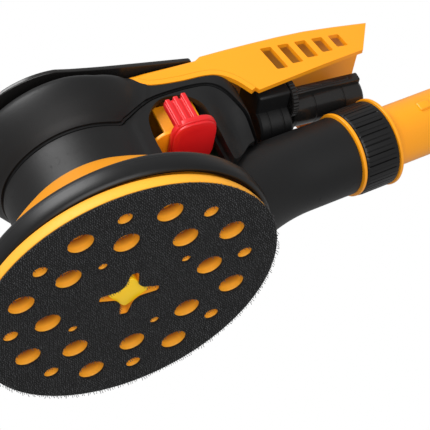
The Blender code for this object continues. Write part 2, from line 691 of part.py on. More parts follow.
def housings(tool_frame, exhaust):
    rim = RIM_RADIUS
    bowl_low = PLATE_TOP + 1.2
    skin_line = bowl_outline()
    inner = [(radius - WALL, height - 0.7 * WALL) for radius, height in skin_line[1:4]]
    bowl = make("lower_housing", turned(
        [(rim - 3.0, bowl_low), (rim - 2.4, bowl_low), (rim - 2.4, SHROUD_TOP + SEAM_GAP)]
        + skin_line
        + [(STATOR_RADIUS + SEAT_GAP, BOWL_TOP), (STATOR_RADIUS + SEAT_GAP, BOWL_TOP - WALL)]
        + inner[::-1] + [(rim - 4.6, SHROUD_TOP), (rim - 4.6, bowl_low)], segments=FINE),
        (ORANGE, 0.45, 0.0), tool_frame)
    port = tool("exhaust_port", rod(DUCT_BORE, -DUCT_LENGTH - 30.0, 30.0 - DUCT_LENGTH,
                                    segments=COARSE), exhaust)
    cut(bowl, port)

    make("dust_shroud", turned((
        (rim - 2.4 + SEAT_GAP, SHROUD_BOTTOM + 4.0), (SHROUD_RADIUS - 3.2, SHROUD_BOTTOM + 0.4),
        (SHROUD_RADIUS - 1.6, SHROUD_BOTTOM), (SHROUD_RADIUS - 0.4, SHROUD_BOTTOM + 1.4),
        (SHROUD_RADIUS, SHROUD_BOTTOM + 4.0), (SHROUD_RADIUS - 0.2, SHROUD_TOP - 4.6),
        (SHROUD_RADIUS - 0.9, SHROUD_TOP - 4.1), (SHROUD_RADIUS - 1.8, SHROUD_TOP - 1.2),
        (SHROUD_RADIUS - 3.4, SHROUD_TOP), (rim - 2.4 + SEAT_GAP, SHROUD_TOP)), segments=FINE),
        (RUBBER, 0.6, 0.0), tool_frame)

    seal = rim - 0.35 * (rim - BOWL_TOP_RADIUS) - 2 * WALL
    make("brake_seal", turned((
        (seal - 4.6, PLATE_TOP + 0.3), (seal - 2.2, PLATE_TOP + 0.3),
        (seal, PLATE_TOP + 7.8), (seal, PLATE_TOP + 19.3),
        (seal - 2.0, PLATE_TOP + 19.3), (seal - 2.0, PLATE_TOP + 8.6))),
        (RUBBER, 0.7, 0.0), tool_frame)

    # the head and the neck share one skin, then the joint lines part it into pieces
    seam_low = beside(SEAM, -0.5 * SEAM_GAP)
    seam_high = beside(SEAM, 0.5 * SEAM_GAP)
    edge_low = beside(EDGE, -0.5 * SEAM_GAP)
    edge_high = beside(EDGE, 0.5 * SEAM_GAP)
    below = seam_low[-1][1]
    behind = edge_low[-1][0] + 2.0
    under_seam = region("under_seam", seam_low + [(seam_low[0][0], below)], tool_frame)
    over_seam = region("over_seam", seam_high + [
        (behind, below), (behind, edge_low[-1][1])] + edge_low[::-1]
        + [(seam_high[0][0], edge_low[0][1])], tool_frame)

    head_profile = head_outline()
    head_low = BOWL_TOP + SEAM_GAP
    void = head_outline(WALL)

    def head_skin(name, look):
        return make(name, lathe_rod(head_profile, segments=FINE), look, tool_frame)

    neck = tool("neck_skin", body_solid(), tool_frame)
    neck_void = tool("neck_void", body_solid(
        WALL, bottom=BODY_BOTTOM - 20.0, end=20.0), tool_frame)
    head_void = tool("head_void", lathe_rod(
        [(void[0][0], head_low - 5.0)] + void, segments=FINE), tool_frame)
    bowl_room = tool("bowl_room", lathe_rod(
        [(SHROUD_RADIUS + SEAM_GAP, 0.0), (SHROUD_RADIUS + SEAM_GAP, SHROUD_TOP + SEAM_GAP)]
        + bowl_outline(SEAM_GAP)[1:], segments=FINE), tool_frame)
    duct_room = tool("duct_room", rod(
        DUCT_RADIUS + SEAM_GAP, -DUCT_LENGTH - 20.0, 60.0, segments=FINE), exhaust)

    lower = head_skin("lower_shell", (BLACK, 0.6, 0.0))
    add(lower, neck)
    cut(lower, head_void, neck_void)
    floor = block(GROOVE_RADIUS, FLOOR_END_X, -33.0, 33.0, FLOOR_Z, FLOOR_Z + FLOOR_THICKNESS)
    floor_keep = tool("floor_trim", body_solid(0.5 * WALL), tool_frame)
    add(lower, keep(tool("neck_floor", floor, tool_frame), floor_keep))
    recess = tool("lever_recess", block(
        RECESS_FRONT_X, RECESS_REAR_X, -40.0, CONTROL_Y - 2.0, 20.0, RECESS_TOP), tool_frame)
    keep(lower, under_seam)
    cut(lower, bowl_room, duct_room, recess)

    upper = head_skin("upper_shell", (BLACK, 0.6, 0.0))
    add(upper, neck)
    cut(upper, head_void, neck_void)
    bearing_cup = tool("bearing_cup", ring(
        BEARING_RADIUS_TOP + SEAT_GAP, BEARING_RADIUS_TOP + 2.4, TOP_BEARING_Z + 0.6,
        DOME_TOP - 0.5 * WALL), tool_frame)
    spring_cup = tool("spring_cup", rod(
        SPRING_RADIUS + 3.0, SPRING_FLOOR - 2.0, DOME_TOP - 0.5 * WALL, at=(SPRING_X, 0)),
        tool_frame)
    add(upper, bearing_cup, spring_cup)
    cut(upper,
        tool("spring_pocket", rod(SPRING_RADIUS + 1.4, SPRING_FLOOR, DOME_TOP + 5.0,
                                  at=(SPRING_X, 0)), tool_frame),
        tool("plunger_hole", rod(PLUNGER_RADIUS + RUN_GAP, PLUNGER_Z, DOME_TOP + 5.0,
                                 at=(PLUNGER_X, 0), segments=SMALL), tool_frame))
    keep(upper, over_seam)
    cut(upper, bowl_room, duct_room)

    trim = make("hood_trim", body_solid(start=1), (ORANGE, 0.4, 0.0),
                tool_frame)
    cut(trim, neck_void)
    keep(trim, region("trim_region", edge_high + beside(EDGE, TRIM_WIDTH)[::-1], tool_frame))
    return bowl, lower, neck_void, bowl_room


def tail_hood(tool_frame, neck_void):
    hood_line = beside(EDGE, TRIM_WIDTH + SEAM_GAP) + from_crown(
        (HOOD_EDGE, TAIL_LOW, TAIL_TIP, (TAIL_TIP[0], EDGE_POINTS[0][1])))
    hood = make("tail_hood", body_solid(start=1), (ORANGE, 0.4, 0.0),
                tool_frame)
    cut(hood, neck_void)
    keep(hood, region("hood_region", hood_line, tool_frame))
    for side in (-1, 1):
        y0, y1 = sorted((side * (LEVER_LUG_HALF + 1.0), side * (LEVER_PIN_HALF + 1.0)))
        add(hood, tool(f"hinge_boss_{side}", block(
            LEVER_PIVOT_X - 3.4, LEVER_PIVOT_X + 3.4, y0, y1, LEVER_PIVOT_Z - 3.4,
            DOME_TOP + 1.5),
            tool_frame))
    pin_bore = lay_along_y(rod(LEVER_PIN_RADIUS + SEAT_GAP, -LEVER_PIN_HALF - 0.4,
                               LEVER_PIN_HALF + 0.4, segments=12),
                           LEVER_PIVOT_X, 0.0, LEVER_PIVOT_Z)
    cut(hood,
        tool("lug_slot", block(LEVER_PIVOT_X - 7.0, LEVER_PIVOT_X + 6.0, -LEVER_LUG_HALF - 0.8,
                               LEVER_LUG_HALF + 0.8, DOME_TOP - 10.5, DOME_TOP + 9.5),
             tool_frame),
        tool("pin_bore", pin_bore, tool_frame))
    for k in range(VENTS):
        x = VENT_FIRST_X + k * VENT_PITCH
        depth = VENT_DEPTH - k * VENT_SHORTER
        lean = VENT_LEAN * depth
        cut(hood, region(f"vent_{k}", from_crown((
            (x, VENT_TOP), (x + VENT_LENGTH, VENT_TOP),
            (x + VENT_LENGTH + lean, VENT_TOP - depth), (x + lean, VENT_TOP - depth))),
            tool_frame))


# ---------------------------------------------------------------- exhaust

def exhaust(tool_frame, axis, hose_axis, bowl_room):
    duct = make("exhaust_duct", ring(DUCT_BORE, DUCT_RADIUS, -DUCT_LENGTH, 0.0),
                (BLACK, 0.6, 0.0), axis)
    cut(duct, bowl_room)

    core = DUCT_RADIUS - 1.8
    collar_top = COLLAR_RING + COLLAR_LENGTH
    spigot = DUCT_BORE - 1.4
    bore = ADAPTOR_RADIUS - ADAPTOR_WALL
    adaptor = make("hose_adaptor", turned((
        (bore, -SPIGOT_LENGTH), (spigot, -SPIGOT_LENGTH), (spigot, RUN_GAP),
        (COLLAR_RADIUS - 0.3, RUN_GAP), (COLLAR_RADIUS - 0.3, COLLAR_RING),
        (core, COLLAR_RING), (core, collar_top), (FLANGE_RADIUS, collar_top),
        (FLANGE_RADIUS, collar_top + FLANGE_LENGTH),
        (ADAPTOR_RADIUS + 0.6, collar_top + FLANGE_LENGTH + 1.4),
        (ADAPTOR_RADIUS, collar_top + FLANGE_LENGTH + 3.0), (ADAPTOR_RADIUS, ADAPTOR_END),
        (bore, ADAPTOR_END))), (ORANGE, 0.4, 0.0), hose_axis)
    lug_spot = collar_top + FLANGE_LENGTH + LUG_SETBACK
    for side in (-1, 1):
        y0, y1 = sorted((side * (ADAPTOR_RADIUS - 1.0), side * (ADAPTOR_RADIUS + 0.9)))
        add(adaptor, tool(f"hose_lug_{side}", block(-2.2, 2.2, y0, y1, lug_spot,
                                                    lug_spot + 7.0), hose_axis))

    rim = []
    for k in range(COLLAR_RIBS):
        for share, radius in ((0.0, COLLAR_RADIUS - 0.9), (0.12, COLLAR_RADIUS),
                              (0.88, COLLAR_RADIUS)):
            turn = 2 * math.pi * (k + share) / COLLAR_RIBS
            rim.append((radius * math.cos(turn), radius * math.sin(turn)))
    grip = make("collar_grip", plate(rim, COLLAR_RING + SEAT_GAP, collar_top - SEAT_GAP),
                (RUBBER, 0.55, 0.0), hose_axis)
    cut(grip, tool("grip_bore", rod(core + SEAT_GAP, 0.0, collar_top + 2.0, segments=FINE),
                   hose_axis))
    make("adaptor_seal", ring(spigot + SEAT_GAP, DUCT_BORE - RUN_GAP, -10.0, -8.0),
         (RUBBER, 0.7, 0.0), hose_axis)


# ---------------------------------------------------------------- start lever

def start_lever(tool_frame, axis, plunger_axis):
    arc = [math.radians(a) for a in range(80, 281, 10)]
    outline = [(LEVER_DISC_X + LEVER_RADIUS * math.cos(a), LEVER_RADIUS * math.sin(a))
               for a in arc]
    outline += [(LEVER_NECK_X, -LEVER_NECK_HALF), (LEVER_TAIL_X, -LEVER_TAIL_HALF),
                (LEVER_TAIL_X, LEVER_TAIL_HALF), (LEVER_NECK_X, LEVER_NECK_HALF)]
    outline = [(x - LEVER_PIVOT_X, y) for x, y in outline]
    low = LEVER_UNDERSIDE - LEVER_PIVOT_Z
    lever = make("start_lever", plate(outline, low, low + LEVER_THICKNESS),
                 (BLACK, 0.35, 0.0), axis)
    add(lever, tool("lever_lug", block(-4.6, 3.4, -LEVER_LUG_HALF, LEVER_LUG_HALF, -3.0,
                                       low + 1.0), axis))
    cut(lever, tool("lug_bore", lay_along_y(
        rod(LEVER_PIN_RADIUS + SEAT_GAP, -20.0, 20.0, segments=12), 0.0, 0.0, 0.0), axis))

    make("start_lever_pin", lay_along_y(
        rod(LEVER_PIN_RADIUS, -LEVER_PIN_HALF, LEVER_PIN_HALF, segments=12),
        LEVER_PIVOT_X, 0.0, LEVER_PIVOT_Z), (STEEL, 0.3, 1.0), tool_frame)

    switch_top = DOME_TOP - SWITCH_DROP
    body = make("switch_body", block(PLUNGER_X - SWITCH_HALF, PLUNGER_X + SWITCH_HALF,
                                     -6.0, 6.0, switch_top - SWITCH_HEIGHT, switch_top),
                ((0.03, 0.03, 0.03), 0.5, 0.0), tool_frame)
    cut(body, tool("switch_bore", rod(PLUNGER_RADIUS + RUN_GAP, PLUNGER_Z - 2.8,
                                      switch_top + 3.0, segments=SMALL,
                                      at=(PLUNGER_X, 0.0)), tool_frame))
    make("switch_plunger", rod(PLUNGER_RADIUS, 0.0, PLUNGER_LENGTH, segments=SMALL),
         (RED, 0.4, 0.0), plunger_axis)

    low = SPRING_FLOOR + RUN_GAP
    high = LEVER_UNDERSIDE - RUN_GAP
    turns = bmesh.new()
    rings = []
    steps = 10 * SPRING_TURNS
    for k in range(steps + 1):
        angle = 2 * math.pi * SPRING_TURNS * k / steps
        height = low + SPRING_WIRE + (high - low - 2 * SPRING_WIRE) * k / steps
        rings.append([turns.verts.new((
            SPRING_X + (SPRING_RADIUS + SPRING_WIRE * math.cos(q)) * math.cos(angle),
            (SPRING_RADIUS + SPRING_WIRE * math.cos(q)) * math.sin(angle),
            height + SPRING_WIRE * math.sin(q)))
            for q in (math.radians(90 * n) for n in range(4))])
    skin(turns, rings)
    make("start_lever_spring", turns, (STEEL, 0.3, 1.0), tool_frame)


# ---------------------------------------------------------------- control lever

def rounded(x0, x1, y0, y1, radius, steps=5):
    outline = []
    for cx, cy, first in ((x1 - radius, y1 - radius, 0), (x0 + radius, y1 - radius, 90),
                          (x0 + radius, y0 + radius, 180), (x1 - radius, y0 + radius, 270)):
        for k in range(steps + 1):
            turn = math.radians(first + 90.0 * k / steps)
            outline.append((cx + radius * math.cos(turn), cy + radius * math.sin(turn)))
    return outline


def control_lever(tool_frame, axis):
    low = CONTROL_BOTTOM
    high = low + CONTROL_THICKNESS
    lever = make("control_lever", plate(rounded(
        -CONTROL_HALF, CONTROL_HALF, -CONTROL_REACH, CONTROL_BACK, CONTROL_CORNER),
        low, high),
        (RED, 0.4, 0.0), axis)
    front = -CONTROL_REACH + 1.2
    add(lever, tool("lever_tab", block(-9.0, 2.6, front + 1.6, front + 5.0, low + 1.5,
                                       CONTROL_TAB_TOP), axis))
    for k in range(3):
        x = -8.7 + 4.4 * k
        add(lever, tool(f"lever_rib_{k}", block(x, x + 2.4, front, front + 2.4, low + 1.2,
                                                CONTROL_TAB_TOP + 0.8), axis))
    cut(lever, tool("control_bore", rod(CONTROL_PIN_RADIUS + RUN_GAP, low + 1.4, high + 2.0,
                                        segments=SMALL), axis))
    make("control_lever_pin", rod(CONTROL_PIN_RADIUS, low + 1.8,
                                  BRACKET_TOP + 0.6, segments=SMALL,
                                  at=(CONTROL_X, CONTROL_Y)), (STEEL, 0.3, 1.0), tool_frame)

    bracket = make("lever_bracket", block(RECESS_FRONT_X + 2.4, RECESS_REAR_X - 1.0,
                                          CONTROL_Y - BRACKET_FRONT, CONTROL_Y + 10.0,
                                          BRACKET_Z, BRACKET_TOP), (ORANGE, 0.45, 0.0),
                   tool_frame)
    add(bracket, tool("bracket_wall", block(
        CONTROL_X - 10.0, CONTROL_X + 10.5, CONTROL_Y - 4.6, CONTROL_Y - 2.6,
        BRACKET_TOP - 0.5, RECESS_TOP - 0.6), tool_frame))
    cut(bracket, tool("bracket_bore", rod(
        CONTROL_PIN_RADIUS + SEAT_GAP, BRACKET_Z - 2.0, BRACKET_TOP + 2.0, segments=SMALL,
        at=(CONTROL_X, CONTROL_Y)), tool_frame))


# ---------------------------------------------------------------- electronics and inlet

def electronics(tool_frame, dial_axis):
    box = make("electronics_box", block(BOX_FRONT_X, BOX_REAR_X, -BOX_HALF, BOX_HALF,
                                        BOX_BARREL_Z - 2.0, BOX_BARREL_Z + BOX_RISE),
               (BLACK, 0.55, 0.0),
               tool_frame)
    add(box, tool("box_barrel", lay_along_x(
        rod(BOX_BARREL_RADIUS, 0.0, BOX_REAR_X - BOX_FRONT_X, segments=COARSE),
        BOX_FRONT_X, 0.0, BOX_BARREL_Z), tool_frame))
    cut(box, tool("dial_bore", lay_along_x(
        rod(DIAL_SHAFT_RADIUS + RUN_GAP, 0.0, 12.0, segments=SMALL), BOX_REAR_X - 9.0, DIAL_Y,
        DIAL_Z), tool_frame))

    teeth = []
    for k in range(DIAL_TEETH):
        for share, radius in ((0.0, DIAL_RADIUS - 0.6), (0.25, DIAL_RADIUS),
                              (0.75, DIAL_RADIUS)):
            turn = 2 * math.pi * (k + share) / DIAL_TEETH
            teeth.append((radius * math.cos(turn), radius * math.sin(turn)))
    wheel = plate(teeth, 0.6, 0.6 + DIAL_THICKNESS)
    dial = make("speed_dial", lay_along_x(wheel, 0.0, 0.0, 0.0), ((0.02, 0.02, 0.02), 0.6, 0.0),
                dial_axis)
    cut(dial, tool("dial_seat", lay_along_x(rod(DIAL_SHAFT_RADIUS + SEAT_GAP, 0.0, 3.0,
                                                segments=SMALL), 0.0, 0.0, 0.0), dial_axis))
    make("dial_shaft", lay_along_x(rod(DIAL_SHAFT_RADIUS, -8.6, 2.8, segments=SMALL), 0.0, 0.0,
                                   0.0), (STEEL, 0.35, 1.0), dial_axis)

    inlet = make("inlet_housing", block(INLET_FRONT_X, INLET_REAR_X, -INLET_HALF, INLET_HALF,
                                        INLET_BARREL_Z - 0.6, INLET_BARREL_Z + INLET_RISE),
                 (BLACK, 0.55, 0.0),
                 tool_frame)
    add(inlet,
        tool("inlet_barrel", lay_along_x(
            rod(INLET_BARREL_RADIUS, 0.0, INLET_REAR_X - INLET_FRONT_X, segments=COARSE),
            INLET_FRONT_X, 0.0, INLET_BARREL_Z), tool_frame),
        tool("inlet_foot", block(BOX_REAR_X + SEAT_GAP, INLET_FRONT_X + 2.0, 1.0, INLET_HALF - 1.0,
                                 BOX_BARREL_Z, INLET_BARREL_Z + INLET_RISE), tool_frame))
    pin_bores = []
    for side in (-1, 1):
        y = side * 0.5 * PIN_PITCH
        pin_bores.append(tool(f"pin_seat_{side}", lay_along_x(
            rod(PIN_RADIUS + SEAT_GAP, -5.0, 2.0, segments=12), INLET_REAR_X - SOCKET_DEPTH, y,
            INLET_BARREL_Z), tool_frame))
        name = "inlet_pin_live" if side < 0 else "inlet_pin_neutral"
        make(name, lay_along_x(rod(PIN_RADIUS, -4.6, 14.0, segments=12),
                               INLET_REAR_X - SOCKET_DEPTH, y, INLET_BARREL_Z),
             ((0.75, 0.6, 0.3), 0.3, 1.0), tool_frame)
    cut(inlet, tool("inlet_socket", lay_along_x(
        rod(SOCKET_RADIUS, 0.0, SOCKET_DEPTH + 5.0, segments=COARSE), INLET_REAR_X - SOCKET_DEPTH,
        0.0, INLET_BARREL_Z), tool_frame), *pin_bores)

    board = FLOOR_Z + FLOOR_THICKNESS + 1.0
    parts = board + BOARD_THICKNESS + SEAT_GAP
    make("circuit_board", block(BOARD_FRONT_X, BOARD_REAR_X, -BOARD_HALF, BOARD_HALF,
                                board, board + BOARD_THICKNESS), (GREEN, 0.5, 0.0), tool_frame)
    for side, name in ((-1, "capacitor_left"), (1, "capacitor_right")):
        make(name, lay_along_x(
            rod(CAPACITOR_RADIUS, 0.0, CAPACITOR_LENGTH, segments=SMALL), BOARD_FRONT_X + 6.0,
            side * (CAPACITOR_RADIUS + 2.0), parts + CAPACITOR_RADIUS),
            ((0.05, 0.07, 0.16), 0.4, 0.0), tool_frame)
    make("drive_heat_sink", block(
        BOARD_REAR_X - 1.0 - SINK_LENGTH, BOARD_REAR_X - 1.0, -15.0, 15.0, parts,
        parts + SINK_HEIGHT), ((0.6, 0.61, 0.63), 0.4, 1.0), tool_frame)


def screws(tool_frame, bowl, lower):
    """Four screws join the lower housing's top flange to the lower shell."""
    for k, angle in enumerate(SCREW_ANGLES):
        spot = (SCREW_CIRCLE * math.cos(math.radians(angle)),
                SCREW_CIRCLE * math.sin(math.radians(angle)))
        head = BOWL_TOP - WALL
        make(f"housing_screw_{k + 1}", lathe_rod((
            (2.2, head - 2.0), (2.2, head - SEAT_GAP), (1.2, head - SEAT_GAP),
            (1.2, BOWL_TOP + 9.0)), segments=12, at=spot), (STEEL, 0.35, 1.0), tool_frame)
        cut(bowl, tool(f"screw_hole_{k}", rod(1.4, head - 1.0, BOWL_TOP + 3.0, segments=12,
                                              at=spot), tool_frame),
            tool(f"screw_seat_{k}", rod(2.7, head - 6.0, head, segments=12, at=spot),
                 tool_frame))
        cut(lower, tool(f"screw_bore_{k}", rod(1.4, BOWL_TOP - 2.0, BOWL_TOP + 10.0,
                                               segments=12, at=spot), tool_frame))


start_clean()
tool_frame = frame("tool_frame", None, -MID_X, -PAD_Y, 0.0)
motor_axis = frame("motor_axis", tool_frame)
pad_axis = frame("pad_axis", motor_axis, PAD_X, PAD_Y)
tilt = (0.0, math.radians(90.0 - DUCT_PITCH), 0.0)
exhaust_axis = frame("exhaust_axis", tool_frame, DUCT_END_X, 0.0, DUCT_END_Z, turn=tilt)
hose_axis = frame("hose_axis", tool_frame, DUCT_END_X, 0.0, DUCT_END_Z, turn=tilt)
lever_axis = frame("start_lever_axis", tool_frame, LEVER_PIVOT_X, 0.0, LEVER_PIVOT_Z)
plunger_axis = frame("switch_plunger_axis", tool_frame, PLUNGER_X, 0.0, PLUNGER_Z)
control_axis = frame("control_lever_axis", tool_frame, CONTROL_X, CONTROL_Y, 0.0)
dial_axis = frame("speed_dial_axis", tool_frame, BOX_REAR_X, DIAL_Y, DIAL_Z)

pad(pad_axis)
rotor(motor_axis)
stator(tool_frame)
bowl, lower, neck_void, bowl_room = housings(tool_frame, exhaust_axis)
screws(tool_frame, bowl, lower)
tail_hood(tool_frame, neck_void)
exhaust(tool_frame, exhaust_axis, hose_axis, bowl_room)
start_lever(tool_frame, lever_axis, plunger_axis)
control_lever(tool_frame, control_axis)
electronics(tool_frame, dial_axis)
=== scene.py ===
"""The looks of a 150 mm random orbital sander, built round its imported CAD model.

Sizes are millimetres in the tool's own frame: origin on the motor's axis in the plane of the
hook face, +X towards the hose, +Z up through the motor. piece() takes a mesh from there to
its place in the frame, in metres.
"""
import math
import random

import bmesh
import bpy
from mathutils import Matrix, Vector


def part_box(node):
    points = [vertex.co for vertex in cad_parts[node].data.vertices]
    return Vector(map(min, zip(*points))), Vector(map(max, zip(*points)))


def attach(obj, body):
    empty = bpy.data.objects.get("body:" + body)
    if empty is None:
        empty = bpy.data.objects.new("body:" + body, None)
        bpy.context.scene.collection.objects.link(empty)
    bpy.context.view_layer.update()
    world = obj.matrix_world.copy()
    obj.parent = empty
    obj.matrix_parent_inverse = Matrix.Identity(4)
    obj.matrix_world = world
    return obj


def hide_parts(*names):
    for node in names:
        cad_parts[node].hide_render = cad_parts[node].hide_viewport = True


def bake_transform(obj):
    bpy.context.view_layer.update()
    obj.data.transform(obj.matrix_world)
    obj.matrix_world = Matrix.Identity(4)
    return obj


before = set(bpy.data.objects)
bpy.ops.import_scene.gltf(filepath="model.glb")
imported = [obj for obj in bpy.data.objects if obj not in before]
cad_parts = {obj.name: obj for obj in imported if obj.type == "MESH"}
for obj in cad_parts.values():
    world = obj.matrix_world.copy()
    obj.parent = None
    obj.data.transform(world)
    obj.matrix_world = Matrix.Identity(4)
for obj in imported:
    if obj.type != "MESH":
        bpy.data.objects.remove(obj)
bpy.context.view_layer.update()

# ------------------------------------------------------------------ view and light
# The tool stands on its pad on a pale bench in a plain white room with soft lamps. It is
# looked at from low on its control-lever side, where the bench doesn't show.

MM = 0.001


def foot_of(node):
    """The point under the middle of a CAD node, level with the hook face, in metres."""
    low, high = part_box(node)
    return Vector((0.5 * (low.x + high.x), 0.5 * (low.y + high.y), 0.0))


PAD_PLACE = foot_of("hook_face")
TOOL_PLACE = foot_of("motor_shaft")


def feed(tree, node, inputs):
    """Give a shader node's inputs their fixed values, or the outputs that drive them."""
    for name, value in inputs.items():
        if isinstance(value, bpy.types.NodeSocket):
            tree.links.new(value, node.inputs[name])
        else:
            node.inputs[name].default_value = value
    return node


def add_node(tree, kind, inputs=None, **settings):
    node = tree.nodes.new("ShaderNode" + kind)
    for name, value in settings.items():
        setattr(node, name, value)
    return feed(tree, node, inputs or {})


def blank_look(name):
    look = bpy.data.materials.new(name)
    look.use_nodes = True
    return look, look.node_tree


def as_object(name, bm):
    mesh = bpy.data.meshes.new(name)
    bm.to_mesh(mesh)
    bm.free()
    thing = bpy.data.objects.new(name, mesh)
    bpy.context.collection.objects.link(thing)
    return thing


def aim_camera():
    lens = bpy.data.cameras.new("view")
    lens.lens = 174.39
    lens.sensor_width = 36.0
    lens.clip_start = 0.05
    lens.clip_end = 20.0
    camera = bpy.data.objects.new("view", lens)
    bpy.context.collection.objects.link(camera)
    right = Vector((0.90426, -0.13932, -0.40362))
    up = Vector((0.23089, -0.63561, 0.73668))
    back = Vector((-0.35918, -0.75934, -0.54259))
    turn = Matrix((right, up, back)).transposed().to_4x4()
    camera.matrix_world = Matrix.Translation(
        PAD_PLACE + Vector((-0.297736, -0.74994, -0.50351))) @ turn
    bpy.context.scene.camera = camera


def soft_lamp(name, place, aim, size, power):
    lamp = bpy.data.lights.new(name, "AREA")
    lamp.shape = "RECTANGLE"
    lamp.size, lamp.size_y = size
    lamp.energy = power
    holder = bpy.data.objects.new(name, lamp)
    bpy.context.collection.objects.link(holder)
    holder.location = place
    holder.rotation_euler = (Vector(aim) - Vector(place)).to_track_quat("-Z", "Y").to_euler()


def light_room():
    world = bpy.data.worlds.new("white room")
    world.use_nodes = True
    tree = world.node_tree
    path = add_node(tree, "LightPath")
    seen = add_node(tree, "MapRange", {"To Min": 0.42, "To Max": 1.0,
                                       "Value": path.outputs["Is Camera Ray"]})
    feed(tree, tree.nodes["Background"], {"Color": (1.0, 1.0, 1.0, 1.0),
                                          "Strength": seen.outputs["Result"]})
    bpy.context.scene.world = world
    bpy.context.scene.view_settings.view_transform = "Standard"
    soft_lamp("key", (-0.55, -0.75, 0.75), (0.0, 0.0, 0.05), (0.7, 0.7), 13.0)
    soft_lamp("low fill", (-0.2, -0.8, -0.7), (-0.05, 0.0, 0.02), (0.9, 0.9), 9.0)


def lay_floor():
    """A pale bench top that only the camera sees, and only from above."""
    bm = bmesh.new()
    bmesh.ops.create_grid(bm, x_segments=2, y_segments=2, size=1.5)
    bmesh.ops.translate(bm, vec=(0.0, 0.0, -0.0004), verts=bm.verts)
    floor = as_object("floor", bm)
    shade, tree = blank_look("pale bench")
    top = feed(tree, tree.nodes["Principled BSDF"], {
        "Base Color": (0.82, 0.82, 0.81, 1.0), "Roughness": 0.8})
    side = add_node(tree, "NewGeometry")
    clear = add_node(tree, "BsdfTransparent")
    pick = add_node(tree, "MixShader", {
        "Fac": side.outputs["Backfacing"], 1: top.outputs["BSDF"], 2: clear.outputs["BSDF"]})
    feed(tree, tree.nodes["Material Output"], {"Surface": pick.outputs["Shader"]})
    floor.data.materials.append(shade)
    for ray in ("diffuse", "glossy", "transmission", "shadow"):
        setattr(floor, "visible_" + ray, False)


aim_camera()
light_room()
lay_floor()

# ------------------------------------------------------------------ foam pad
# The pad body is a moulded disc of springy amber polyurethane, narrower at its top, with
# rings of dust holes right through it and a four-armed star at its middle, where the
# backing plate's yellow hub shows. It is bonded to the backing plate.


def half_width(node, axis=0):
    low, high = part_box(node)
    return 0.5 * (high[axis] - low[axis]) / MM


PAD_RADIUS = half_width("hook_face")
# rings of dust holes: how many, the circle's inset from the rim, radius, first angle
DUST_HOLES = (
    (8, 19.8, 6.5, 13.9),
    (8, 35.1, 6.5, 36.4),
    (8, 17.3, 3.8, 36.4),
    (4, 44.3, 2.4, 58.9),
)
AXIS = 0.0001          # as near the axis as a spun outline starts
STAR_RADIUS = 7.4
STAR_REACH = 15.5
STAR_ARM = 4.4
STAR_TURN = 5.0


def span(node, axis=2):
    """Where a CAD node starts and ends along one axis, in the tool's own millimetres."""
    low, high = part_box(node)
    return tuple((end[axis] - TOOL_PLACE[axis]) / MM for end in (low, high))


def move(bm, x, y, z):
    bmesh.ops.translate(bm, vec=(x, y, z), verts=bm.verts)
    return bm


def spin(bm, axis, angle):
    bmesh.ops.rotate(bm, cent=(0, 0, 0), verts=bm.verts,
                     matrix=Matrix.Rotation(angle, 3, axis))
    return bm


def piece(name, bm, look, body, stands_for=(), place=TOOL_PLACE, crease=35.0):
    """A finished piece: settled in the frame, smooth but for its creases, riding on its body."""
    bmesh.ops.scale(bm, vec=(MM, MM, MM), verts=bm.verts)
    thing = as_object(name, move(bm, *place))
    thing.data.shade_smooth()
    thing.data.set_sharp_from_angle(angle=math.radians(crease))
    thing.data.materials.append(look)
    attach(thing, body)
    if stands_for:
        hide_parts(*stands_for)
    return thing


def soft_edges(thing, width, segments=2):
    soft = thing.modifiers.new("softened edges", "BEVEL")
    soft.width = width * MM
    soft.segments = segments
    soft.limit_method = "ANGLE"
    soft.angle_limit = math.radians(50)


def tidy(bm):
    bmesh.ops.remove_doubles(bm, verts=bm.verts, dist=0.0008)
    bmesh.ops.recalc_face_normals(bm, faces=bm.faces)
    return bm


def soften(outline, radius, steps=3):
    """The same outline with each corner rounded off, less where its sides are short."""
    points = [Vector(p) for p in outline]
    soft = []
    for k, corner in enumerate(points):
        back, on = points[k - 1] - corner, points[(k + 1) % len(points)] - corner
        reach = min(radius, 0.45 * back.length, 0.45 * on.length)
        start, end = corner + back.normalized() * reach, corner + on.normalized() * reach
        for step in range(steps + 1):
            t = step / steps
            soft.append(tuple((1 - t) ** 2 * start + 2 * t * (1 - t) * corner + t ** 2 * end))
    return soft


def turned(outline, steps=160):
    """A closed outline of (radius, height) points spun once round the upright axis."""
    bm = bmesh.new()
    points = [bm.verts.new((radius, 0.0, height)) for radius, height in outline]
    edges = [bm.edges.new((points[k - 1], points[k])) for k in range(len(points))]
    bmesh.ops.spin(bm, geom=points + edges, cent=(0, 0, 0), axis=(0, 0, 1),
                   angle=2 * math.pi, steps=steps, use_merge=True)
    return tidy(bm)


def rod(radius, low, high, steps=96):
    """A plain round bar about the upright axis, mostly to bore holes with."""
    return turned([(AXIS, low), (radius, low), (radius, high), (AXIS, high)], steps)


def slab(outline, low, high, edge=0.0, segments=2, upright="Z"):
    """An outline in XY (or XZ) drawn up into a plate, its rims rounded by edge."""
    bm = bmesh.new()
    if upright == "Z":
        face = bm.faces.new([bm.verts.new((a, b, low)) for a, b in outline])
        step = Vector((0, 0, high - low))
    else:
        face = bm.faces.new([bm.verts.new((a, low, b)) for a, b in outline])
        step = Vector((0, high - low, 0))
    grown = bmesh.ops.extrude_face_region(bm, geom=[face])
    bmesh.ops.translate(
        bm, vec=step, verts=[v for v in grown["geom"] if isinstance(v, bmesh.types.BMVert)])
    bmesh.ops.recalc_face_normals(bm, faces=bm.faces)
    round_edges(bm, edge, segments, 50.0)
    return bm


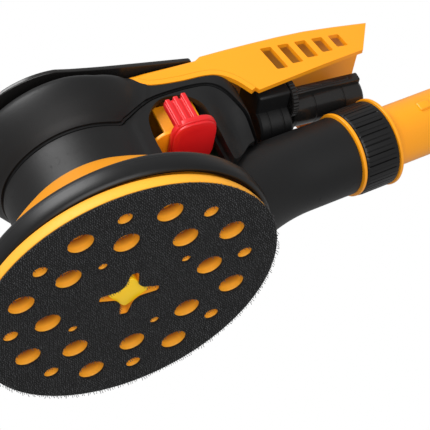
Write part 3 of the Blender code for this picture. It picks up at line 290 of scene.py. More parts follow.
def round_edges(bm, edge, segments=2, angle=35.0):
    if edge:
        sharp = [e for e in bm.edges if e.is_manifold
                 and abs(e.calc_face_angle(0.0)) > math.radians(angle)]
        bmesh.ops.bevel(bm, geom=sharp, offset=edge, offset_type="OFFSET", segments=segments,
                        profile=0.5, affect="EDGES", clamp_overlap=True, material=-1)
    return bm


def carve(bm, *steps):
    """The solid after a row of Boolean steps, each (operation, other solid)."""
    block = as_object("block", bm)
    cutters = []
    for operation, other in steps:
        cutter = as_object("cutter", other)
        cutters.append(cutter)
        step = block.modifiers.new(operation, "BOOLEAN")
        step.solver = "EXACT"
        step.operation = operation
        step.object = cutter
    bpy.context.view_layer.update()
    result = bpy.data.meshes.new_from_object(
        block.evaluated_get(bpy.context.evaluated_depsgraph_get()))
    carved = bmesh.new()
    carved.from_mesh(result)
    for old in [block] + cutters:
        bpy.data.objects.remove(old, do_unlink=True)
    bmesh.ops.remove_doubles(carved, verts=carved.verts, dist=0.002)
    bmesh.ops.dissolve_degenerate(carved, dist=0.002, edges=carved.edges)
    return carved


def merged(*solids):
    """Solids that don't touch, gathered in one mesh."""
    whole = bmesh.new()
    for bm in solids:
        part = bpy.data.meshes.new("part")
        bm.to_mesh(part)
        bm.free()
        whole.from_mesh(part)
        bpy.data.meshes.remove(part)
    return whole


def loft(bm, rings):
    """Skin over a row of rings, closed at both ends."""
    rims = [[bm.edges.new((ring[k - 1], ring[k])) for k in range(len(ring))] for ring in rings]
    for low, high in zip(rims, rims[1:]):
        bmesh.ops.bridge_loops(bm, edges=low + high)
    bm.faces.new(rings[0])
    bm.faces.new(rings[-1])
    bmesh.ops.recalc_face_normals(bm, faces=bm.faces)
    return bm


def dust_hole_spots():
    for ring, (count, inset, radius, first) in enumerate(DUST_HOLES):
        for k in range(count):
            turn = math.radians(first + 360.0 * k / count)
            reach = PAD_RADIUS - inset
            yield ring, reach * math.cos(turn), reach * math.sin(turn), radius


def hole_plugs(low, high, flare=0.0, grow=0.0, rings=(0, 1, 2, 3)):
    """Plugs for the dust holes, widened at their lower mouth by flare."""
    plugs = []
    for ring, x, y, radius in dust_hole_spots():
        if ring in rings:
            size = radius + grow
            outline = [(AXIS, low - 3), (size + flare, low - 3), (size + flare, low),
                       (size + 0.3 * flare, low + 0.5 * flare), (size, low + 1.3 * flare),
                       (size, high), (AXIS, high)]
            plugs.append(move(turned(outline, steps=48 if radius > 5 else 32), x, y, 0))
    return merged(*plugs)


def star_outline(grow=0.0):
    points = []
    for k in range(8):
        arm = k % 2 == 0
        reach = (STAR_REACH if arm else STAR_RADIUS) + grow
        half = math.atan(0.5 * (STAR_ARM + grow) / reach) if arm else math.radians(16)
        for side in (-1, 1):
            turn = math.radians(45.0 * k + STAR_TURN) + side * half
            points.append((reach * math.cos(turn), reach * math.sin(turn)))
    return soften(points, 1.3)


def moulded_surface():
    """Fine grain, slow mottling and stray scuffs of a moulded or rubbed surface."""
    group = bpy.data.node_groups.new("moulded surface", "ShaderNodeTree")
    for name, way, kind in (("Vector", "INPUT", "Vector"), ("Grain", "INPUT", "Float"),
                            ("Mottle Size", "INPUT", "Float"), ("Height", "OUTPUT", "Float"),
                            ("Mottle", "OUTPUT", "Float"), ("Scuff", "OUTPUT", "Float")):
        group.interface.new_socket(name=name, in_out=way, socket_type="NodeSocket" + kind)
    given = group.nodes.new("NodeGroupInput").outputs
    grain = add_node(group, "TexNoise", {"Vector": given["Vector"], "Scale": given["Grain"],
                                         "Detail": 2.0, "Roughness": 0.6})
    mottle = add_node(group, "TexNoise", {"Vector": given["Vector"],
                                          "Scale": given["Mottle Size"], "Detail": 3.0})
    scratch = add_node(group, "TexNoise", {"Vector": given["Vector"], "Scale": 210.0,
                                           "Detail": 4.0, "Distortion": 1.6})
    thin = add_node(group, "MapRange", {"From Min": 0.62, "From Max": 0.74,
                                        "Value": scratch.outputs["Fac"]})
    feed(group, group.nodes.new("NodeGroupOutput"), {
        "Height": grain.outputs["Fac"], "Mottle": mottle.outputs["Fac"],
        "Scuff": thin.outputs["Result"]})
    return group


MOULDED = moulded_surface()


def finish(name, shade_one, shade_two, smooth, rough, grain, depth, mottle=60.0, metallic=0.0,
           level=0.5):
    """A surface that wanders between two shades and two roughnesses, with its own grain."""
    look, tree = blank_look(name)
    place = add_node(tree, "TexCoord")
    skin = add_node(tree, "Group", {"Grain": grain, "Mottle Size": mottle,
                                    "Vector": place.outputs["Object"]}, node_tree=MOULDED)
    tint = add_node(tree, "Mix", {"A": (*shade_one, 1.0), "B": (*shade_two, 1.0),
                                  "Factor": skin.outputs["Mottle"]}, data_type="RGBA")
    gloss = add_node(tree, "MapRange", {"To Min": smooth, "To Max": rough,
                                        "Value": skin.outputs["Scuff"]})
    relief = add_node(tree, "Bump", {"Strength": 1.0, "Distance": depth * MM,
                                     "Height": skin.outputs["Height"]})
    feed(tree, tree.nodes["Principled BSDF"], {
        "Metallic": metallic, "Specular IOR Level": level,
        "Base Color": tint.outputs["Result"], "Roughness": gloss.outputs["Result"],
        "Normal": relief.outputs["Normal"]})
    return look


AMBER_FOAM = finish("amber foam", (1.0, 0.40, 0.018), (1.0, 0.46, 0.03), 0.55, 0.75,
                    grain=2600.0, depth=0.10, mottle=45.0)


def paint_hole_shade(look, shade_tint, low, high, rim):
    """Painted shade: the foam is coloured redder and darker the deeper it lies in the holes,
    standing in for the shade down in them; its rim is left out.
    """
    tree = look.node_tree
    shader = tree.nodes["Principled BSDF"]
    place = add_node(tree, "TexCoord").outputs["Object"]
    split = add_node(tree, "SeparateXYZ", {"Vector": place})
    depth = add_node(tree, "MapRange", {"From Min": low * MM, "From Max": high * MM,
                                        "Value": split.outputs["Z"]})
    centre = add_node(tree, "VectorMath", {0: place, 1: PAD_PLACE}, operation="SUBTRACT")
    flat = add_node(tree, "VectorMath", {0: centre.outputs["Vector"], 1: (1.0, 1.0, 0.0)},
                    operation="MULTIPLY")
    reach = add_node(tree, "VectorMath", {0: flat.outputs["Vector"]}, operation="LENGTH")
    inside = add_node(tree, "Math", {0: reach.outputs["Value"], 1: rim * MM},
                      operation="LESS_THAN")
    # painted shade: the share of the dark tint grows with depth into the holes, inside the rim
    painted_shade = add_node(tree, "Math", {0: depth.outputs["Result"], 1: inside.outputs["Value"]},
                     operation="MULTIPLY")
    # the foam's own colour, before the painted shade is mixed in
    unshaded = shader.inputs["Base Color"].links[0].from_socket
    tint = add_node(tree, "Mix", {"A": unshaded, "B": (*shade_tint, 1.0),
                                  "Factor": painted_shade.outputs["Value"]}, data_type="RGBA")
    feed(tree, shader, {"Base Color": tint.outputs["Result"]})


def pad_foam():
    low, high = span("pad_foam")
    # the dark red-brown is painted shade deep in the dust holes
    paint_hole_shade(AMBER_FOAM, (0.24, 0.03, 0.002), low + 2.6, high + 0.5, PAD_RADIUS - 5.0)
    outline = [(AXIS, low), (PAD_RADIUS - 1.7, low), (PAD_RADIUS - 1.3, low + 0.3),
               (PAD_RADIUS - 1.15, low + 1.1), (PAD_RADIUS - 1.3, low + 2.6),
               (PAD_RADIUS - 1.9, low + 4.6), (PAD_RADIUS - 2.7, high - 0.7),
               (PAD_RADIUS - 3.4, high), (AXIS, high)]
    foam = carve(turned(outline, steps=192),
                 ("DIFFERENCE", hole_plugs(low, high + 2, flare=0.5)),
                 ("DIFFERENCE", slab(star_outline(), low - 2, high + 2)))
    thing = piece("foam_pad", foam, AMBER_FOAM, "pad", ["pad_foam"],
                  place=PAD_PLACE, crease=40.0)


pad_foam()

# ------------------------------------------------------------------ backing plate and hub
# The stiff backing plate is moulded in orange plastic with the same dust holes. Its yellow hub,
# painted brighter for the light that shines through it, stands in the star at the middle and
# takes the screw into the spindle.

ORANGE = finish("orange plastic", (0.93, 0.335, 0.006), (0.96, 0.365, 0.009), 0.36, 0.46,
                grain=1500.0, depth=0.016, mottle=30.0)
# Painted light: the hub's yellow is made brighter than its own colour, for the light that shines
# through the translucent hub.
HUB_YELLOW_AND_GLOW = finish("hub yellow and painted glow", (1.0, 0.58, 0.004), (1.0, 0.66, 0.008), 0.35, 0.5,
                    grain=900.0, depth=0.02, mottle=80.0)


def backing_plate():
    low, high = span("pad_plate")
    radius = half_width("pad_plate")
    top = high - 1.3
    outline = soften([(8.2, low), (radius, low), (radius, top), (13.0, top), (12.0, high),
                      (8.2, high)], 0.4)
    plate = carve(turned(outline), ("DIFFERENCE", hole_plugs(
        low - 1, high + 1, rings=(0, 1, 2))))
    piece("backing_plate", plate, ORANGE, "pad", ["pad_plate"],
          place=PAD_PLACE)


def star_hub():
    """The hub's face fills the star's middle and runs a little way into each arm."""
    low, high = span("pad_foam")
    face = low + 0.5
    points = [(radius * math.cos(turn), radius * math.sin(turn))
              for k in range(8)
              for radius, turn in ((7.4 if k % 2 else 10.6, math.radians(45.0 * k + STAR_TURN)),)]
    star = slab(soften(points, 2.2), face - 0.3, high + 0.1, edge=0.5, segments=3)
    piece("pad_hub", star, HUB_YELLOW_AND_GLOW, "pad", place=PAD_PLACE)


backing_plate()
star_hub()

# ------------------------------------------------------------------ hook face
# The face is woven hook fastener: a black ground cloth bonded to the foam, with rows of
# stiff little nylon hooks that grip the abrasive disc. They stand in straight rows and fray
# over the edges of the holes and the rim.

ROW_TURN = -22.0
ROW_PITCH = 1.75
HOOK_PITCH = 1.1
HOOK_WIRE = 0.17
GROUND_LOW = 1.15


def hook_cloth_look():
    """Black yarns crossed at right angles along the rows of hooks."""
    look, tree = blank_look("ground cloth")
    place = add_node(tree, "TexCoord")
    turn = add_node(tree, "Mapping", {"Vector": place.outputs["Object"],
                                      "Rotation": (0.0, 0.0, math.radians(-ROW_TURN))})
    yarns = [add_node(tree, "TexWave", {
        "Vector": turn.outputs["Vector"], "Scale": 314.16 / pitch, "Distortion": 0.8,
        "Detail": 1.0}, bands_direction=direction).outputs["Fac"]
        for direction, pitch in (("X", HOOK_PITCH), ("Y", ROW_PITCH))]
    cross = add_node(tree, "Math", {0: yarns[0], 1: yarns[1]}, operation="MULTIPLY")
    weave = cross.outputs["Value"]
    tint = add_node(tree, "Mix", {"A": (0.0015, 0.0015, 0.0015, 1.0), "Factor": weave,
                                  "B": (0.008, 0.008, 0.0085, 1.0)}, data_type="RGBA")
    relief = add_node(tree, "Bump", {"Distance": 0.3 * MM, "Height": weave})
    feed(tree, tree.nodes["Principled BSDF"], {
        "Roughness": 0.85, "Base Color": tint.outputs["Result"],
        "Normal": relief.outputs["Normal"]})
    return look


# Painted glints: the lighter shade lifts scattered bits of the black nylon hooks to mid grey,
# standing in for the glints of light along the rows.
HOOK_NYLON_AND_GLINTS = finish("hook nylon and painted glints", (0.008, 0.008, 0.009), (0.12, 0.122, 0.127), 0.3, 0.5,
                    grain=4000.0, depth=0.01, mottle=300.0)


def ground_cloth():
    low, high = span("hook_face")
    outline = soften([(AXIS, GROUND_LOW), (PAD_RADIUS - 0.8, GROUND_LOW),
                      (PAD_RADIUS - 1.2, high), (AXIS, high)], 0.2)
    cloth = carve(turned(outline, steps=192),
                  ("DIFFERENCE", hole_plugs(low - 1, high + 1, grow=-0.15)),
                  ("DIFFERENCE", slab(star_outline(-0.3), low - 1, high + 1)))
    piece("hook_ground", cloth, hook_cloth_look(), "pad", ["hook_face"],
          place=PAD_PLACE)


def one_hook():
    """A crook of stiff wire: up from the cloth, over and back on itself."""
    bm = bmesh.new()
    rings = []
    for along, height, share, lean in (
            (0.0, GROUND_LOW + 0.1, 1.0, 0.0), (0.02, 0.62, 0.95, 0.1), (0.14, 0.22, 0.9, 0.7),
            (0.40, 0.10, 0.85, 1.5), (0.60, 0.36, 0.6, 2.3)):
        size = HOOK_WIRE * share
        rings.append([bm.verts.new((along + size * math.cos(turn) * math.cos(lean),
                                    size * math.sin(turn),
                                    height + size * math.cos(turn) * math.sin(lean)))
                      for turn in (0.0, 2.1, 4.2)])
    return loft(bm, rings)


def hook_spots():
    """Where the hooks stand: in rows over the cloth, clear of its holes, a little uneven."""
    chance = random.Random(7)
    holes = [spot[1:] for spot in dust_hole_spots()]
    turn = math.radians(ROW_TURN)
    rows = int(PAD_RADIUS / ROW_PITCH)
    columns = int(PAD_RADIUS / HOOK_PITCH)
    for row in range(-rows, rows + 1):
        for column in range(-columns, columns + 1):
            a = (column + 0.5 * (row % 2)) * HOOK_PITCH + chance.uniform(-0.16, 0.16)
            b = row * ROW_PITCH + chance.uniform(-0.1, 0.1)
            x = a * math.cos(turn) - b * math.sin(turn)
            y = a * math.sin(turn) + b * math.cos(turn)
            reach = math.hypot(x, y)
            arm = abs((math.degrees(math.atan2(y, x)) - STAR_TURN + 45.0) % 90.0 - 45.0)
            in_star = reach < STAR_RADIUS + 0.2 or (
                reach < STAR_REACH and reach * math.radians(arm) < 0.5 * STAR_ARM)
            if reach < PAD_RADIUS - 0.25 and not in_star and all(
                    math.hypot(x - hx, y - hy) > radius - 0.2 for hx, hy, radius in holes):
                yield row, x, y, chance


def hook_rows():
    """All the hooks, in two pieces that share the rows between them."""
    hook = one_hook()
    shape = [v.co.copy() for v in hook.verts]
    hook.verts.index_update()
    faces = [[v.index for v in f.verts] for f in hook.faces]
    hook.free()
    halves = {0: ([], []), 1: ([], [])}
    for row, x, y, chance in hook_spots():
        points, polygons = halves[row % 2]
        way = math.radians(ROW_TURN + 90.0 + (180.0 if chance.random() < 0.5 else 0.0)
                           + chance.uniform(-35, 35))
        edge = max(0.0, (math.hypot(x, y) - PAD_RADIUS + 2.2) / 2.2)
        tilt = Matrix.Rotation(chance.uniform(-0.22, 0.22), 3, "X") @ Matrix.Rotation(
            chance.uniform(-0.25, 0.25), 3, "Y")
        spin = Matrix.Rotation(way, 3, "Z")
        stretch = chance.uniform(0.85, 1.05)
        start = len(points)
        for point in shape:
            rise = GROUND_LOW - point.z
            local = spin @ (tilt @ Vector((point.x, point.y, point.z - GROUND_LOW)))
            splay = edge * rise * 0.22
            points.append((x + local.x + splay * x / PAD_RADIUS,
                           y + local.y + splay * y / PAD_RADIUS,
                           max(0.02, GROUND_LOW + local.z * stretch)))
        polygons.extend([start + k for k in face] for face in faces)
    for half, (points, polygons) in halves.items():
        mesh = bpy.data.meshes.new("hooks")
        mesh.from_pydata(points, [], polygons)
        rows = bmesh.new()
        rows.from_mesh(mesh)
        bpy.data.meshes.remove(mesh)
        piece(f"hook_rows_{half + 1}", rows, HOOK_NYLON_AND_GLINTS, "pad",
              place=PAD_PLACE, crease=180.0)


ground_cloth()
hook_rows()

# ------------------------------------------------------------------ dust shroud
# A soft black rubber skirt snaps over the lower housing's rim and rides just clear of the
# pad, so that the suction draws the dust up through the holes. It is turned smooth, with a
# rolled lower lip and a thin step where it meets the housing.

RUBBER = finish("black rubber", (0.0045, 0.0045, 0.0046), (0.008, 0.008, 0.0085), 0.36, 0.5,
                grain=900.0, depth=0.012, mottle=40.0, level=0.34)


def dust_shroud():
    low, high = span("dust_shroud")
    skin = half_width("dust_shroud")
    outline = soften([
        (skin - 7.0, low + 4.0), (skin - 3.2, low + 0.4), (skin - 1.6, low),
        (skin - 0.4, low + 1.4), (skin, low + 3.6), (skin, low + 5.6), (skin - 0.3, high - 4.5),
        (skin - 0.35, high - 4.1), (skin - 0.95, high - 4.0), (skin - 1.2, high - 2.6),
        (skin - 2.0, high - 0.9), (skin - 3.6, high), (skin - 7.0, high)], 0.9, 3)
    piece("shroud", turned(outline, steps=208), RUBBER, "housing",
          ["dust_shroud"])


dust_shroud()

# ------------------------------------------------------------------ lower housing
# The orange bowl over the eccentric is moulded in glass-filled nylon. It narrows from the
# shroud up to the motor, gathers the dust and opens on one side into the exhaust duct.

bowl_low, bowl_high = span("lower_housing")
shroud_top = span("dust_shroud")[1]
RIM = half_width("lower_housing")
STATOR = half_width("motor_stator")
WAIST = STATOR + 6.5
WALL = 2.6
DUCT_PITCH = math.radians(7.5)
DUCT_START = Vector((45.6, 0.0, bowl_high - 14.16))
DUCT_LENGTH = 84.0
DUCT_RADIUS = 19.9
DUCT_BORE = 17.5


def smooth_line(points, steps=6):
    """A curve through the points, with its ends kept."""
    ends = [points[0]] + list(points) + [points[-1]]
    line = []
    for a, b, c, d in zip(ends, ends[1:], ends[2:], ends[3:]):
        for k in range(steps):
            t = k / steps
            line.append(tuple(
                0.5 * (2 * q + (r - p) * t + (2 * p - 5 * q + 4 * r - s) * t * t
                       + (3 * q - p - 3 * r + s) * t ** 3)
                for p, q, r, s in zip(a, b, c, d)))
    line.append(tuple(points[-1]))
    return line


def along_duct(bm, distance=DUCT_LENGTH):
    """Lay a piece turned about Z along the duct's axis, its zero this far up from the start."""
    slope = math.pi / 2 - DUCT_PITCH
    way = Matrix.Rotation(slope, 3, "Y") @ Vector((0, 0, distance))
    return move(spin(bm, "Y", slope), *(DUCT_START + way))


def bowl_skin(grow=0.0):
    low = shroud_top + 0.4
    return smooth_line([
        (RIM + across * (WAIST - RIM) + grow, low + up * (bowl_high - low))
        for across, up in ((0.0, 0.0), (0.25, 0.24), (0.5, 0.5), (0.75, 0.76), (1.0, 1.0))], 5)


def lower_housing():
    skin = bowl_skin()
    inner = [(radius - WALL, height - 0.7 * WALL) for radius, height in skin[3:-3]]
    outline = ([(RIM - 3.0, bowl_low), (RIM - 2.2, bowl_low), (RIM - 2.2, shroud_top + 0.4)]
               + skin + [(STATOR + 0.4, bowl_high), (STATOR + 0.4, bowl_high - WALL)]
               + inner[::-1] + [(RIM - 5.0, shroud_top), (RIM - 5.0, bowl_low)])
    port = along_duct(rod(DUCT_BORE, -20.0, 30.0), 0.0)
    bowl = carve(turned(outline, 208), ("DIFFERENCE", port))
    piece("bowl", bowl, ORANGE, "housing", ["lower_housing"])


lower_housing()

# ------------------------------------------------------------------ lower and upper shells
# Two black soft-touch shells close round the motor and the neck and are screwed to the
# bowl. They part along a wavy joint line, with a rounded groove, that runs level round the
# palm grip and arches over the control lever's recess.

SOFT_BLACK = finish("soft-touch black", (0.0052, 0.0053, 0.0055), (0.0085, 0.0086, 0.0090),
                    0.46, 0.60, grain=2100.0, depth=0.07, mottle=22.0, level=0.32)

dome_top = 0.5 * sum(span("start_lever_pin")) + 1.5
GRIP = 47.0
# the head's outer skin from its waist to its crown: radius, height from the crown
HEAD_LINE = ((WAIST, -60.0), (WAIST, -49.0), (WAIST + 0.2, -37.9), (WAIST + 0.5, -29.1),
             (WAIST + 3.7, -23.6), (GRIP - 1.9, -15.5), (GRIP, -8.5), (GRIP - 0.7, -4.9),
             (GRIP - 3.8, -2.3), (GRIP - 11.0, -0.5), (GRIP - 22.0, 0.0))
# the neck's side skin along X: half width, and its top from the crown
NECK_LINE = ((14.0, 33.0, -1.0), (28.0, 32.0, 1.4), (42.5, 31.0, 2.4), (57.5, 30.3, 2.8),
             (70.9, 30.0, 3.3), (73.5, 30.0, 5.3), (92.0, 29.5, 6.6))
NECK_HALF = 32.0
NECK_END = 86.0
NECK_CORNER = 6.0
BLEND_RADIUS = 14.0
SEAM_GAP = 0.5
GROOVE_WIDTH = 2.2
GROOVE_SCALE = 0.966    # the lips inside the groove stand this much nearer the axis
SEAM_POINTS = (
    (-60.0, -29.1), (-20.0, -29.1), (14.5, -29.1), (22.7, -25.9), (30.7, -20.9),
    (39.7, -16.3), (50.7, -14.3), (61.7, -13.5), (70.7, -14.7), (77.7, -20.5),
    (81.7, -29.5), (83.2, -40.5), (83.2, -70.5))
EDGE_POINTS = (
    (32.7, 24.5), (32.7, 3.0), (35.2, -3.0), (40.2, -7.2), (47.7, -8.7), (59.7, -9.1),
    (70.7, -8.9), (78.2, -10.7), (84.2, -15.9), (89.2, -24.1))
TRIM = 3.2


def from_crown(points):
    return [(x, dome_top + height) for x, height in points]


def beside(path, distance):
    """The same path moved to its left."""
    moved = []
    for k, (x, z) in enumerate(path):
        x0, z0 = path[max(k - 1, 0)]
        x1, z1 = path[min(k + 1, len(path) - 1)]
        length = math.hypot(x1 - x0, z1 - z0)
        moved.append((x - distance * (z1 - z0) / length, z + distance * (x1 - x0) / length))
    return moved


def between(table, x, column=1):
    """A value read off a table of stations along X."""
    for low, high in zip(table, table[1:]):
        if x <= high[0]:
            share = max(0.0, (x - low[0]) / (high[0] - low[0]))
            return low[column] + share * (high[column] - low[column])
    return table[-1][column]


def bump(t):
    return max(0.0, 1.0 - t * t) ** 2


def clamp(t):
    return max(0.0, min(1.0, t))


def shell_ring(bm, head, height):
    """One level of the skin: round the head, then by a hollow blend along the neck."""
    from_top = height - dome_top
    over = max(0.0, from_top + NECK_CORNER)
    drawn_in = NECK_CORNER - math.sqrt(max(0.0, NECK_CORNER ** 2 - over ** 2)) if over else 0.0
    half = min(NECK_HALF - drawn_in, head - 1.5)
    blend = BLEND_RADIUS
    centre = math.sqrt(max(0.0, (head + blend) ** 2 - (half + blend) ** 2))
    first = math.atan2(half + blend, centre)
    hollow = []
    for k in range(16):
        turn = first + math.pi + (1.5 * math.pi - first - math.pi) * k / 15
        hollow.append((centre + blend * math.cos(turn), half + blend + blend * math.sin(turn)))
    side = []
    for k in range(1, 37):
        x = centre + (NECK_END - centre) * k / 36
        scoop = 5.0 * bump((x - 74.5) / 12.0) * bump((from_top + 33.0) / 19.0)
        sunk = clamp((x - 60.0) / 14.0) * clamp((-30.0 - from_top) / 22.0)
        far = clamp((x - 75.0) / (NECK_END - 75.0))
        turned_in = 9.0 * (1.0 - math.sqrt(1.0 - far * far))
        y = half + between(NECK_LINE, x) - NECK_HALF - scoop - turned_in - 9.0 * sunk * sunk * (
            3.0 - 2.0 * sunk)
        side.append((x, max(y, 4.0)))
    around = [(math.cos(first + (2 * math.pi - 2 * first) * k / 96) * head,
               math.sin(first + (2 * math.pi - 2 * first) * k / 96) * head)
              for k in range(1, 96)]
    end = side[-1][1]
    back = [(NECK_END, -(end - 2 * end * k / 12)) for k in range(1, 12)]
    flank = hollow + side
    loop = around + [(x, -y) for x, y in flank] + back + flank[::-1]
    lift = clamp((from_top + 16.0) / 14.0)
    lift = lift * lift * (3 - 2 * lift)
    points = []
    for x, y in loop:
        raised = between(NECK_LINE, x, 2) * lift if x > 14.0 else -lift * clamp(x / 14.0)
        points.append(bm.verts.new((x, y, height + raised)))
    return points


def shell_solid(across=1.0):
    bm = bmesh.new()
    loft(bm, [shell_ring(bm, head, dome_top + height)
              for head, height in smooth_line(HEAD_LINE, 5)])
    bmesh.ops.scale(bm, vec=(across, across, 1.0), verts=bm.verts)
    return bm


def prism(outline):
    """An outline seen from the side, drawn right across the tool."""
    return slab(outline, -62.0, 62.0, upright="Y")


def rounded_box(x0, x1, y0, y1, z0, z1, edge, segments=3):
    bm = bmesh.new()
    bmesh.ops.create_cube(bm, size=1.0)
    bmesh.ops.scale(bm, vec=(x1 - x0, y1 - y0, z1 - z0), verts=bm.verts)
    move(bm, 0.5 * (x0 + x1), 0.5 * (y0 + y1), 0.5 * (z0 + z1))
    return round_edges(bm, edge, segments)


def bowl_room():
    return turned([(AXIS, 0.0), (RIM + 5.0, 0.0), (RIM + 5.0, shroud_top + 0.4)]
                  + bowl_skin(0.6) + [(AXIS, bowl_high + 0.5)], 160)


def duct_room():
    return along_duct(rod(DUCT_RADIUS + 0.4, -30.0, 150.0), 0.0)


def shell_hollow():
    """The motor's and the wiring's room inside the shells."""
    motor = turned([(AXIS, bowl_high - 6.0), (WAIST - WALL, bowl_high - 6.0),
                    (WAIST - WALL, dome_top - 30.0), (GRIP - 5.0, dome_top - 14.0),
                    (GRIP - 5.5, dome_top - 6.0), (GRIP - 12.0, dome_top - 3.2),
                    (AXIS, dome_top - 3.2)], 96)
    front = rounded_box(18.0, 62.0, -28.0, 28.0, 30.0, dome_top - 3.0, 4.0)
    rear = rounded_box(56.0, 82.0, -19.0, 19.0, 30.0, dome_top - 3.0, 4.0)
    foot = prism([(60.0, 10.0), (60.0, 36.0), (68.0, 43.0), (78.0, 52.0), (96.0, 62.0),
                  (120.0, 62.0), (120.0, 10.0)])
    return motor, front, rear, foot


def seam_side(over, gap=SEAM_GAP):
    seam = smooth_line(from_crown(SEAM_POINTS), 6)
    edge = beside(smooth_line(from_crown(EDGE_POINTS), 6), -0.25)
    line = beside(seam, 0.5 * gap if over else -0.5 * gap)
    foot = seam[-1][1]
    if over:
        return prism(line + [(edge[-1][0] + 2.0, foot), (edge[-1][0] + 2.0, edge[-1][1])]
                     + edge[::-1] + [(line[0][0], edge[0][1])])
    return prism(line + [(line[0][0], foot)])


RECESS_FRONT = 28.7
RECESS_REAR = 63.7
RECESS_TOP = dome_top - 16.9


def recess_room():
    """The control lever's pocket: an arch open below, through the neck's side wall."""
    outline = [(RECESS_FRONT + 3.0, 20.0), (RECESS_FRONT + 2.0, RECESS_TOP - 22.0),
               (RECESS_FRONT + 4.5, RECESS_TOP - 9.0), (RECESS_FRONT + 14.0, RECESS_TOP),
               (RECESS_REAR - 9.0, RECESS_TOP), (RECESS_REAR - 1.0, RECESS_TOP - 7.0),
               (RECESS_REAR, RECESS_TOP - 24.0), (RECESS_REAR, 20.0)]
    return slab(soften(outline, 6.0, 5), -60.0, -23.2, upright="Y")


def shells():
    for name, over in (("lower_shell", False), ("upper_shell", True)):
        skin = carve(shell_solid(), ("INTERSECT", seam_side(over, GROOVE_WIDTH)))
        lips = carve(shell_solid(GROOVE_SCALE), ("INTERSECT", seam_side(over)))
        rooms = [*shell_hollow(), bowl_room(), duct_room()]
        if not over:
            rooms.append(recess_room())
        shell = carve(skin, ("UNION", lips), *(("DIFFERENCE", room) for room in rooms))
        piece(f"{name}_skin", shell, SOFT_BLACK, "housing", [name], crease=42.0)


shells()

# ------------------------------------------------------------------ tail hood and trim
# The orange hood is one hollow moulding, open below, that covers the mains inlet and the
# electronics and is the rear hand's rest. Its lower edge has a raised trim strip that
# follows the shells' edge. Five slanted vents pass through each side wall.

# along X: half width, top from the crown, radius of the top corner
HOOD_LINE = ((28.0, 32.0, 1.4, 6.5), (42.5, 31.0, 2.4, 4.5), (57.5, 30.3, 2.8, 3.6),
             (70.9, 30.0, 3.3, 3.2), (73.5, 30.0, 5.3, 3.2), (87.5, 29.6, 6.4, 3.2),
             (102.5, 29.0, 7.4, 3.2), (117.5, 28.4, 8.2, 3.2), (132.5, 27.8, 8.5, 3.2),
             (147.5, 26.8, 8.1, 3.2), (157.5, 26.0, 7.7, 3.2), (169.5, 25.0, 7.2, 3.2))
HOOD_FOOT = ((93.3, -24.4), (157.0, -11.8), (168.0, 6.4))
VENTS = 5


def hood_ring(bm, x, inset, foot):
    half = between(HOOD_LINE, x) - inset
    top = dome_top + between(HOOD_LINE, x, 2) - inset
    corner = max(between(HOOD_LINE, x, 3) - inset, 1.0)
    ridge = top - 0.07 * corner + 0.6
    row = [(half - corner + corner * math.cos(t), top - corner + corner * math.sin(t) * 0.93)
           for t in (math.pi / 2 * k / 9 for k in range(10))]
    row += [(y, top - 0.07 * corner + 0.6 * (1 - (y / (half - corner)) ** 2))
            for y in ((half - corner) * (1 - k / 6) for k in range(1, 6))]
    points = ([(-half, foot), (half, foot)] + row + [(0.0, ridge)]
              + [(-y, z) for y, z in row[::-1]])
    return [bm.verts.new((x, y, z)) for y, z in points]


def hood_solid(inset, foot, first=28.0, last=169.5):
    bm = bmesh.new()
    stations = [first + (last - first) * k / 46 for k in range(47)]
    return loft(bm, [hood_ring(bm, x, inset, foot) for x in stations])


def hood_edge(distance):
    return beside(smooth_line(from_crown(EDGE_POINTS), 6), distance)


def hood_inside():
    return hood_solid(WALL, 30.0, 20.0, 180.0)


def vent(k):
    """One vent's outline; each is shorter than the one before, and all lean to the tail."""
    x = 105.0 + 9.5 * k
    depth = 15.0 - 1.7 * k
    lean = 0.2 * depth
    outline = [(x, 1.0), (x + 6.0, 1.0), (x + 6.0 + lean, 1.0 - depth), (x + lean, 1.0 - depth)]
    return from_crown(soften(outline, 0.7, 2))


def tail_hood():
    outline = hood_edge(TRIM + 0.2) + from_crown(HOOD_FOOT) + from_crown(
        [(HOOD_FOOT[-1][0], EDGE_POINTS[0][1])])
    slot = rounded_box(58.7, 71.7, -6.3, 6.3, dome_top - 10.0, dome_top + 10.0, 0.6)
    hood = carve(hood_solid(0.0, 40.0), ("DIFFERENCE", hood_inside()),
                 ("INTERSECT", prism(outline)),
                 *(("DIFFERENCE", prism(vent(k))) for k in range(VENTS)),
                 ("DIFFERENCE", slot))
    soft_edges(piece("hood", hood, ORANGE, "housing", ["tail_hood"],
                     crease=40.0), 0.45)


def hood_trim():
    strip = prism(hood_edge(0.35) + hood_edge(TRIM - 0.05)[::-1])
    trim = carve(hood_solid(-0.12, 40.0), ("DIFFERENCE", hood_inside()), ("INTERSECT", strip))
    soft_edges(piece("trim_strip", trim, ORANGE, "housing", ["hood_trim"],
                     crease=40.0), 0.3)


tail_hood()
hood_trim()

# ------------------------------------------------------------------ exhaust duct
# The black duct leaves the bowl under the neck and climbs towards the tail. It is moulded
# with the lower shell's soft skin, flares where it joins the housing and ends in a joint
# face for the swivelling hose adaptor.

FLARE_END = 58.0        # from the duct's start
FLARE_RUN = 34.0
FLARE_RISE = 6.5
FLARE_MOST = 9.0


